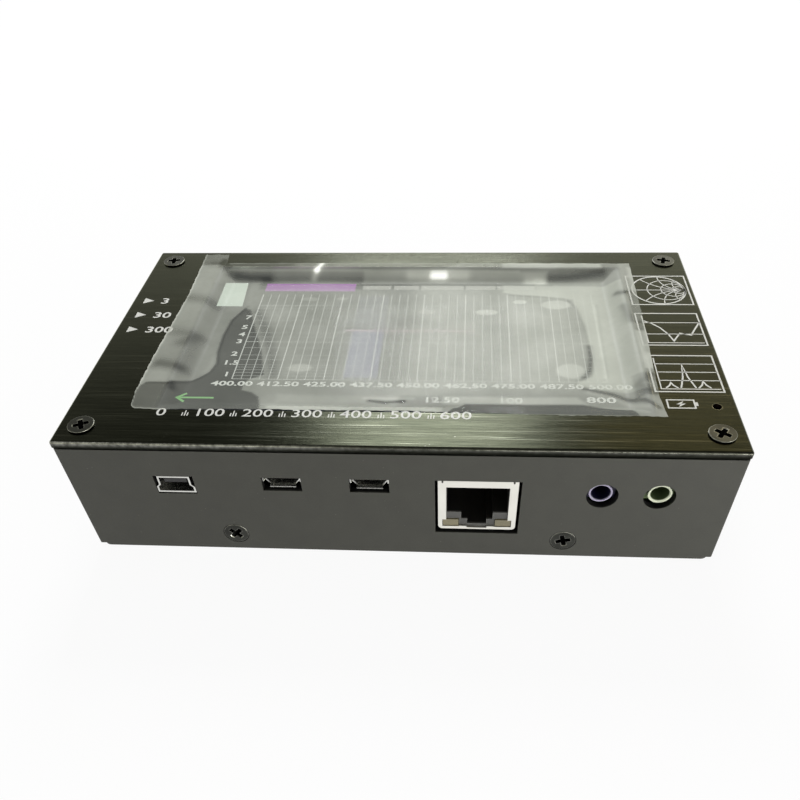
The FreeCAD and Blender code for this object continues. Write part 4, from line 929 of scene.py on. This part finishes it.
def drawDisplay():
    glows = {name: glowMaterial(name, colour) for name, colour in displayColours.items()}

    def show(name, drawing, colour, rise=0.0):
        mesh = drawing.mesh(name, displayTop + picture["lift"] + rise)
        addPiece(name, mesh, glows[colour], "case")

    plotX, plotY, pixel, columns = (picture[key] for key in ("plotX", "plotY", "pixel", "columns"))
    dots, perColumn = picture["columnDots"], picture["finePerColumn"]
    plotRight = plotX + dots * columns * pixel
    lines = flatDrawing(), flatDrawing()    # strong ones, then fine ones
    for column in range(columns * perColumn + 1):
        x = plotX + column * (dots // perColumn) * pixel
        fine = column % perColumn > 0
        half = pixel * picture["columnHalf"][fine]
        lines[fine].box(x - half, x + half, plotY, picture["plotHigh"])
    for level in picture["levels"]:
        y = plotY + picture["decadeDots"] * math.log10(level) * pixel
        fine = level not in picture["strongLevels"]
        half = pixel * picture["levelHalf"][fine]
        lines[fine].box(plotX, plotRight, y - half, y + half)
    show("plotLines", lines[0], "displayLines")
    show("plotFineLines", lines[1], "displayFineLines", -0.01)

    places = [("%.2f" % (picture["firstFigure"] + picture["figureStep"] * index),
               plotX + picture["figureShift"] + dots * index * pixel, picture["figureY"], 0)
              for index in range(columns + 1)]
    places += [(text, picture["sideX"], y, 1) for text, y in picture["sideFigures"].items()]
    drawing = flatDrawing()
    for text, x, y, kind in places:
        drawing.figures(text, (x, y - picture["figureDrop"]), stretch=picture["figureStretch"][kind],
                        **picture["figureStyle"])
    show("plotFigures", drawing, "displayFigures")

    for name, (colour, rise, shapes) in displayPieces.items():
        drawing = flatDrawing()
        for shape, *values in shapes:
            getattr(drawing, shape)(*values)
        show(name, drawing, colour, rise)

    dress(faceMaterial(), "display_glass")
    dress(glassMaterial(), "touch_glass")


drawDisplay()
print("display drawn")


film = {
    # edges as points along each side, in millimetres
    "leftEdge": [(-27.6, -53.5), (-26.2, -53.7), (-23.6, -54.0), (-11.0, -54.0), (13.7, -53.2), (36.4, -53.9)],
    "rightEdge": [(-27.6, 52.3), (-21.4, 51.7), (7.6, 52.7), (23.4, 52.9), (32.0, 53.0)],
    "frontEdge": [(-52.3, -27.3), (-47.0, -27.4), (-27.3, -27.0), (0.9, -26.8), (31.8, -27.6), (52.3, -27.6)],
    "backEdge": [(-50.0, 32.2), (0.0, 32.1), (53.0, 31.9)],
    "frontDrop": (0.16, -25.0, 6.0),    # further front, from where, and over what length
    "raggedLeft": 0.06, "raggedRight": 0.03, "raggedFront": 0.08, "raggedBack": 0.07, "raggedFlap": 0.15,
    "flapRight": -47.6, "flapBack": 36.6,
    "cornerRadius": 1.8,
    "wide": 107.0, "deep": 61.0, "borderDeep": 60.0,     # rough size of the sheet
    "window": (-48.7, 50.45, -27.5, 30.4),
    "slopeStart": 0.4, "slope": 4.5,
    "edgeLift": 0.02, "panelLift": 0.20, "glassLift": 0.14, "waves": 0.10,
    "freeFrom": 3.2,                    # width of the border that lies flat
    "columns": 300, "rows": 176, "crowding": 0.35,
    "veil": 0.47, "veilRange": (0.04, 0.97),
    "bubbleEdge": (1.15, 0.3),          # where a bubble ends and how softly, as shares of its half size
    # a painted highlight along the film's left and front edges: width, where it fades, how fast, change of veil
    # and tone
    "rim": 0.30, "rimRight": -47.0, "rimFade": 0.2, "rimHighlight": (0.30, 0.10),
}

filmFinish = {
    "dull": (0.64, 0.665, 0.575),
    "milky": (0.88, 0.90, 0.805),
    "glintColour": (1.0, 1.0, 0.97),
    # painted glints: where the tone is high the film glows white
    "glint": (0.45, 1.35, 0.0, 0.75),   # tones where it starts and ends, strength at each
    "uneven": (0.92, 1.06),
    "rough": (0.22, 0.36),
    "specular": 0.02,
    "relief": 0.10,
    "clouds": 70.0, "grain": 900.0, "dents": 160.0,     # patterns per metre
}

clingingSide = [(-41.2, 8.5), (-41.7, 2.3), (-41.4, -4.5), (-40.6, -8.9), (-41.2, -12), (-42.8, -14.1),
                (-45.7, -16.6), (-48.2, -18.7), (-52.6, -18.6)]

# Where the film clings to the glass it shows through, where it lifts it turns milky; the other spreads
# make the film more or less milky over an area.
# Each spread: outline, softness in mm, change of veil and, where there is one, of tone.
filmSpreads = {
    "clinging": ([(-39.1, 13.7), *clingingSide, (-56, -22), (-56, -30), (-27.1, -30), (-27.1, -26.9),
        (-28.9, -20.6), (-30.6, -19.1), (-32.9, -18.3), (-33, -16), (-32.1, -14.5), (-29.3, -13), (-31.7, -3.7),
        (-34.7, 4.4), (-37.6, 13)], 0.7, -0.28),
    "leftBand": ([(-48.5, -18), (-42.8, -14), (-41.5, -4.8), (-41.7, 3.4), (-41.2, 8.5), (-39.1, 13.7),
        (-40.2, 25.9), (-48.5, 22)], 1.5, -0.06),
    "beyondArc": ([(22.2, 21.3), (25.2, 20.4), (30.4, 19.7), (38.3, 17.8), (40, 6.7), (40.4, -6), (39.6, -12.3),
        (36.6, -14.4), (36.5, -16.1), (50, -19), (50, 24), (22.2, 24.9)], 0.9, 0.22, -0.14),
    "backStrip": (rectangle(-48, 50, 28.7, 31.6), 1.6, -0.12),
    "backStripLeft": ([(-49, 29.6), (8, 29.6), (14, 34), (-49, 34)], 1.6, -0.16),
    "flap": (rectangle(-56, -46.8, 31, 38), 1.2, -0.24),
    "darkBandRight": (rectangle(-12, 33, 25.6, 28.6), 1.2, 0.2),
    "middleRight": ([(0, -20), (2, 25), (46, 26), (46, -16)], 8, 0.17),
    "underBar": ([(28, -18), (22, 22), (36, 22), (38, -14)], 4, 0.06),
    "leftFoot": (rectangle(-54, -45, -14, 0), 3, -0.08),
    "frontBar": ([(0, -19.6), (9, -19.6), (10, -24), (0, -24)], 1.2, -0.06),
    "lapBack": (rectangle(52, 57, 18, 30), 1.2, 0.18),
    "barStrip": (rectangle(-37.5, 30, 22.7, 27), 1.4, -0.1),
    "backStripRight": (rectangle(22, 46, 29.6, 33), 1.2, 0.28),
    "frontStripRight": ([(9, -19.8), (9, -22.4), (38, -22), (36, -19.6)], 1.2, 0.18),
    "frontStripLeft": (rectangle(-25, 0, -22.4, -19.8), 1.6, 0.08),
    "frontRow": (rectangle(-26, 9, -24.6, -28.4), 1, 0.2),
    "frontStrip": ([(-27, -22.6), (5, -22.8), (9, -27), (-27, -27)], 1.2, 0.02),
    "frontRight": ([(10, -27.6), (13.5, -22), (37, -21.9), (46, -25), (47, -27.8)], 0.9, -0.28),
    "rightLap": (rectangle(50.2, 54, -12, 2), 0.8, 0.26),
    "rightLapBack": (rectangle(50.6, 54, 5, 17), 0.8, -0.16),
    "rightLapFront": (rectangle(47.5, 54, -21, -13.5), 0.8, -0.14),
}

# Each streak: path, half width in mm, change of veil and, where there is one, of tone.
# Most are painted light: painted shadows and dark reflections where the veil drops, painted highlights
# and glints where veil and tone rise, and the lit and shaded sides of folds and creases.
filmStreaks = {
    "columnShadow": ([(-35.6, 12), (-32.4, 4.4), (-29.6, -3.7), (-27.4, -13)], 1.7, -0.16),
    "boundary": ([(-38.6, 14.6), *clingingSide], 0.45, -0.1),
    "crescent": ([(40.2, -1.5), (40.1, -5.8), (39.5, -10.4), (38, -13)], 0.75, -0.3),
    "arc": ([(23.8, 20.1), (30.4, 19.4), (36.6, 18.4), (39, 14), (40, 6.7), (40.4, -6), (39.6, -12.3),
        (36.6, -14.4)], 0.38, -0.11),
    "backLeft": ([(-50.6, 31), (-45.3, 31), (-36.5, 31), (-31, 31)], 1.7, -0.12),
    "windowEdge": ([(-45, 30.1), (-22, 30.1)], 0.7, 0.08),
    "backBandShadow": ([(-44, 27.4), (-39.7, 26.9), (-27.5, 27.1), (-14.5, 26.9), (-1.3, 26.5), (19.8, 26.4),
        (28.3, 26.6)], 1, -0.12),
    "backBandShadowLeft": ([(-45.5, 27.9), (-41, 27.2), (-36, 27.1)], 1.4, -0.22),
    "backRight": ([(33.4, 27), (38.5, 27.2), (46.1, 28.2)], 1.2, -0.28),
    "firstShade": ([(-52.7, 15.2), (-46.2, 13.3)], 1.9, -0.16),
    "secondShade": ([(-52.4, 1), (-46.8, -0.5), (-49.1, -3.9)], 1.9, -0.16),
    "thirdShade": ([(-51.8, -11.8), (-47.1, -13.1)], 1.7, -0.2),
    "fourthShade": ([(-47.4, -18.4), (-47, -19.8)], 0.9, -0.1),
    "foldHighlight": ([(43, 15.7), (43, 12.5), (42.4, -12.9)], 0.35, 0.05, 0.1),
    "foldShade": ([(43.6, 15.7), (43.6, 12.5), (43, -12.9)], 0.3, -0.06),
    "rightShadeHigh": ([(51.6, 18.2), (49.5, 18), (48.4, 18.6)], 0.9, -0.34),
    "rightShadeUpper": ([(49, 12.6), (49.8, 6)], 1, -0.22),
    "rightShadeMiddle": ([(51.6, 5), (51.4, 0.5), (51.9, -5.4)], 1, -0.2),
    "rightShadeLower": ([(51.2, -14), (49.6, -15.8), (48.2, -17), (51, -20)], 1.2, -0.18),
    "creaseShade": ([(37.5, -16.6), (43.4, -18.7), (48.7, -22.2), (51, -25)], 0.6, -0.26),
    "creaseHighlight": ([(38.5, -18), (43.8, -20.3), (49, -24.4)], 0.6, 0.06, 0.1),
    "frontLensShade": ([(-5.9, -21.4), (-2.6, -22), (1.1, -21.5)], 0.55, -0.3),
    "frontLensHighlight": ([(-7, -20.6), (-2.4, -20.7), (3, -20.6)], 0.45, 0.08, 0.1),
    "whiteGlint": ([(5.2, 27.6), (7.8, 27.6)], 1.15, 0.55, 0.26),
    "glintHalo": ([(-0.5, 27.7), (13, 27.6)], 1.2, 0.3, 0.05),
    "leftGlint": ([(-23, 31.9), (-23.3, 30.4), (-23.8, 29)], 0.95, 0.5, 0.26),
    "leftGlintFoot": ([(-24, 28.4), (-24.4, 27)], 0.85, 0.3, 0.08),
    "rightGlint": ([(28.2, 26.2), (31.6, 26)], 1.1, 0.36, 0.04),
    "backLine": ([(-46, 28.9), (-10, 28.7), (26, 28.6)], 0.35, 0.14, 0.04),
    "topLine": ([(-38, 25), (0, 24.7), (34, 24.6)], 0.35, -0.08),
}

# Each bubble: centre, half sizes across and along, change of veil and of tone.
filmBubbles = {
    "rightLarge": ((34.3, 15.7), (3.4, 1.9), 0.14, 0.1),
    "middle": ((18.2, 12.5), (2.6, 1.2), 0.17, 0.1),
    "middleLeft": ((4.3, 12.4), (2, 1), 0.06, 0.03),
    "rightLow": ((35.6, -10.6), (3, 2.6), 0.14, 0.09),
    "leftLow": ((-21.9, -10.3), (2.6, 1.5), 0.12, 0.07),
    "rightSmall": ((26, 17), (1.6, 0.9), 0.16, 0.1),
    "leftHigh": ((-24.2, 18), (2.1, 0.9), 0.08, 0.04),
    "leftSpeck": ((-16.5, 18.3), (1.3, 0.7), 0.08, 0.04),
}


def smoothStep(value):
    value = np.clip(value, 0.0, 1.0)
    return value * value * (3 - 2 * value)


def distanceTo(x, y, path):
    # distance of every point to an open line of corners
    nearest = np.full(x.shape, 1e6)
    for (startX, startY), (endX, endY) in zip(path, path[1:]):
        runX, runY = endX - startX, endY - startY
        share = np.clip(((x - startX) * runX + (y - startY) * runY) / (runX * runX + runY * runY), 0.0, 1.0)
        nearest = np.minimum(nearest, np.hypot(x - startX - share * runX, y - startY - share * runY))
    return nearest


def reachInto(x, y, outline):
    # distance to a closed outline, positive inside it
    inside = np.zeros(x.shape, bool)
    for (startX, startY), (endX, endY) in zip(outline, outline[1:] + outline[:1]):
        crosses = (startY > y) != (endY > y)
        inside ^= crosses & (x < startX + (y - startY) * (endX - startX) / ((endY - startY) or 1.0))
    away = distanceTo(x, y, outline + outline[:1])
    return np.where(inside, away, -away)


def alongEdge(value, side):
    return np.interp(value, *zip(*film[side]))


def spacing(count):
    # even steps, closer together at both ends
    steps = np.linspace(0.0, 1.0, count + 1)
    return steps - film["crowding"] * np.sin(2 * math.pi * steps) / (2 * math.pi)


def filmPlaces():
    # where every point lies, and its share of the way across and along the sheet;
    # the edges are ragged by a few waves, in radians per millimetre
    across, along = np.meshgrid(spacing(film["columns"]), spacing(film["rows"]))
    nearY = film["window"][2] + along * film["deep"]
    ragged = (np.sin(nearY * 1.9 + 2.0 * np.sin(nearY * 0.37))
              + 0.8 * np.sin(nearY * 5.3 + 1.4 * np.sin(nearY * 0.9)))
    left = alongEdge(nearY, "leftEdge") + film["raggedLeft"] * ragged
    right = alongEdge(nearY, "rightEdge") - 0.05 + film["raggedRight"] * np.sin(nearY * 1.3)
    x = left + across * (right - left)
    flap = 1 - smoothStep((x - film["flapRight"]) / 0.5 + 0.5)
    back = alongEdge(x, "backEdge") + film["raggedBack"] * np.sin(x * 1.1)
    back = back + (film["flapBack"] + film["raggedFlap"] * np.sin(x * 1.7) - back) * flap
    drop, dropFrom, dropOver = film["frontDrop"]
    front = alongEdge(x, "frontEdge") - drop * smoothStep((x - dropFrom) / dropOver)
    front = front + film["raggedFront"] * (np.sin(x * 0.7) + 0.625 * np.sin(x * 2.9))
    radius = film["cornerRadius"]
    front = front + radius - np.sqrt(radius ** 2 - (radius - np.clip(x - left, 0.0, radius)) ** 2)
    return x, front + along * (back - front), across, along


def filmHeight(x, y, across, along):
    # the sheet sinks from the panel to the glass, with a few slow waves in radians per millimetre
    left, right, front, back = film["window"]
    fromEdge = np.minimum(np.minimum(across, 1 - across) * film["wide"],
                          np.minimum(along, 1 - along) * film["borderDeep"])
    free = smoothStep(fromEdge / film["freeFrom"])
    inward = np.minimum(np.minimum(x - left, right - x), np.minimum(y - front, back - y))
    sunk = smoothStep((inward - film["slopeStart"]) / film["slope"])
    onPanel = panelTop + film["edgeLift"] + (film["panelLift"] - film["edgeLift"]) * free
    onGlass = glassTop + film["glassLift"]
    swell = np.sin(x * 0.19 + 0.6 * np.sin(y * 0.13)) + 0.6 * np.sin(x * 0.07 + y * 0.24 + 1.3)
    ripple = 0.5 * np.sin(x * 0.55 + 1.2 * np.sin(y * 0.31)) * np.sin(y * 0.42 + 0.7)
    return onPanel + (onGlass - onPanel) * sunk + free * film["waves"] * (swell + ripple) / 2.1


def filmLook(x, y, across, along):
    # veil and tone of every point, with painted shadows, reflections, highlights and glints among the changes
    veil, tone = np.full(x.shape, film["veil"]), np.zeros(x.shape)

    def change(share, veilChange, toneChange=0.0):
        veil[:] += veilChange * share
        tone[:] += toneChange * share

    for outline, softness, *changes in filmSpreads.values():
        change(smoothStep(reachInto(x, y, outline) / softness + 0.5), *changes)
    for path, half, *changes in filmStreaks.values():
        change(np.exp(-(distanceTo(x, y, path) / half) ** 2), *changes)
    reach, soft = film["bubbleEdge"]
    for (middleX, middleY), (halfX, halfY), *changes in filmBubbles.values():
        change(smoothStep((reach - np.hypot((x - middleX) / halfX, (y - middleY) / halfY)) / soft), *changes)
    # painted highlight along the film's edges
    edge = np.minimum(across * film["wide"], along * film["borderDeep"]
                      + np.clip(x - film["rimRight"], 0.0, None) * film["rimFade"])
    change(np.exp(-(edge / film["rim"]) ** 2), *film["rimHighlight"])
    return np.clip(veil, *film["veilRange"]), tone


def filmMaterial():
    material, tree, shader, where = newMaterial("liftedFilm")
    cloud = noiseNode(tree, where, filmFinish["clouds"], detail=5)
    fine = noiseNode(tree, where, filmFinish["grain"])

    def fromMesh(name):
        node = tree.nodes.new("ShaderNodeAttribute")
        node.attribute_name = name
        return node.outputs["Fac"]

    tone = fromMesh("filmToneAndGlint")
    lightness = product(tree, mathNode(tree, "ADD", tone, spreadNoise(tree, cloud)), 0.5)
    uneven = spreadNoise(tree, cloud, *filmFinish["uneven"])
    # the tone from the mesh lightens the film and, where high, makes its painted glints glow
    feed(tree, shader, {
        "Emission Strength": rangeNode(tree, tone, *filmFinish["glint"]),
        "Emission Color": filmFinish["glintColour"],
        "Base Color": mixColour(tree, lightness, filmFinish["dull"], filmFinish["milky"]),
        "Alpha": product(tree, fromMesh("filmVeilAndShade"), uneven),
        "Roughness": spreadNoise(tree, fine, *filmFinish["rough"]),
        "Specular IOR Level": filmFinish["specular"]})
    addBump(tree, shader, noiseNode(tree, where, filmFinish["dents"]), filmFinish["relief"])
    return material


def makeFilm():
    x, y, across, along = filmPlaces()
    z = filmHeight(x, y, across, along)
    veil, tone = filmLook(x, y, across, along)
    wide = film["columns"] + 1
    points = np.stack([x.ravel(), y.ravel(), z.ravel()], axis=1) * mm
    first = (np.arange(film["rows"])[:, None] * wide + np.arange(film["columns"])[None, :]).ravel()
    faces = np.stack([first, first + 1, first + 1 + wide, first + wide], axis=1)
    mesh = bpy.data.meshes.new("liftedFilm")
    mesh.from_pydata(points.tolist(), [], faces.tolist())
    mesh.shade_smooth()
    for name, values in (("filmVeilAndShade", veil), ("filmToneAndGlint", tone * 4)):
        mesh.attributes.new(name, "FLOAT", "POINT").data.foreach_set("value", values.ravel().astype(np.float32))
    piece = addPiece("liftedFilm", mesh, filmMaterial(), "case")
    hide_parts("screen_film")
    print("film height", round(float(z.min()), 2), "to", round(float(z.max()), 2), "mm")


makeFilm()
print("film laid")


studio = {
    "skyLight": 0.38,                           # world strength for diffuse light
    "skyTint": (1.0, 1.0, 0.86),
    # what mirrors see: sines of the lower and upper edge, brightness at each
    "backdrop": (0.44, 0.63, 1.50, 0.28),
    "backdropLeft": (-0.40, -0.08, 0.58, 1.0),  # the same sideways, as a share
    "floorWhite": 0.93,                         # share of plain white in the floor, the rest takes shadow
    "floorColour": (0.86, 0.86, 0.85),
    "floorHalf": 3.0,
    "floorDrop": 0.00002,
}

lamps = {
    # place and aim in millimetres, size in millimetres, radiance, colour
    "backSoftbox": ((-28, 612, 520), (0, -20, 30), (240, 250), 26.3, (0.97, 0.99, 1.02)),
    "warmLamp": ((290, 625, 595), (40, 0, 30), (240, 180), 3.0, (1.0, 0.80, 0.42)),
    "leftSoftbox": ((-420, -180, 420), (0, 0, 10), (300, 300), 0.9, (1.0, 1.0, 0.98)),
    "frontFill": ((330, -520, 230), (0, 0, 10), (420, 260), 1.5, (1.0, 0.99, 0.96)),
    "lowStrip": ((190, -275, 15), (14, -38, 15), (420, 22), 29.0, (1.0, 0.98, 0.95)),
}


def lightPath(tree):
    return tree.nodes.new("ShaderNodeLightPath").outputs


def seenDirectly(tree):
    # 1 for rays that show the background: camera, mirror and glass
    path = lightPath(tree)
    shown = mathNode(tree, "MAXIMUM", path["Is Camera Ray"], path["Is Glossy Ray"])
    return mathNode(tree, "MAXIMUM", shown, path["Is Transmission Ray"])


def setWorld():
    world = bpy.data.worlds.new("paleStudio")
    bpy.context.scene.world = world
    world.use_nodes = True
    tree = world.node_tree
    mirrored = lightPath(tree)["Is Glossy Ray"]
    aside, _, up = splitVector(tree, tree.nodes.new("ShaderNodeTexCoord").outputs["Generated"])
    backdrop = product(tree, rangeNode(tree, up, *studio["backdrop"]),
                       rangeNode(tree, aside, *studio["backdropLeft"]))
    direct = rangeNode(tree, seenDirectly(tree), 0.0, 1.0, studio["skyLight"], 1.0)
    feed(tree, tree.nodes["Background"], {
        "Strength": rangeNode(tree, mirrored, 0.0, 1.0, direct, backdrop),
        "Color": mixColour(tree, mirrored, (1.0, 1.0, 1.0), studio["skyTint"])})


def setFloor():
    mesh = bpy.data.meshes.new("studioFloor")
    half = studio["floorHalf"]
    mesh.from_pydata([(x, y, 0) for x, y in rectangle(-half, half, -half, half)], [], [(0, 1, 2, 3)])
    floor = addObject("studioFloor", mesh)
    floor.location.z = -studio["floorDrop"]
    material, tree, paper, _ = newMaterial("floorPaper")
    feed(tree, paper, {"Base Color": studio["floorColour"], "Roughness": 0.9, "Specular IOR Level": 0.1})
    mixer = tree.nodes.new("ShaderNodeMixShader")
    feed(tree, mixer, {
        "Fac": product(tree, seenDirectly(tree), studio["floorWhite"]), 1: paper.outputs["BSDF"],
        2: tree.nodes.new("ShaderNodeEmission").outputs["Emission"]})
    feed(tree, tree.nodes["Material Output"], {"Surface": mixer.outputs["Shader"]})
    mesh.materials.append(material)


def addLamp(name, place, aim, size, radiance, colour):
    data = bpy.data.lights.new(name, "AREA")
    data.shape = "RECTANGLE"
    data.size, data.size_y = (side * mm for side in size)
    data.energy = radiance * math.pi * data.size * data.size_y
    data.color = colour
    pointAt(addObject(name, data), place, aim)


setWorld()
setFloor()
for lampName, lampValues in lamps.items():
    addLamp(lampName, *lampValues)
bpy.context.scene.view_settings.view_transform = "Standard"
print("studio set")
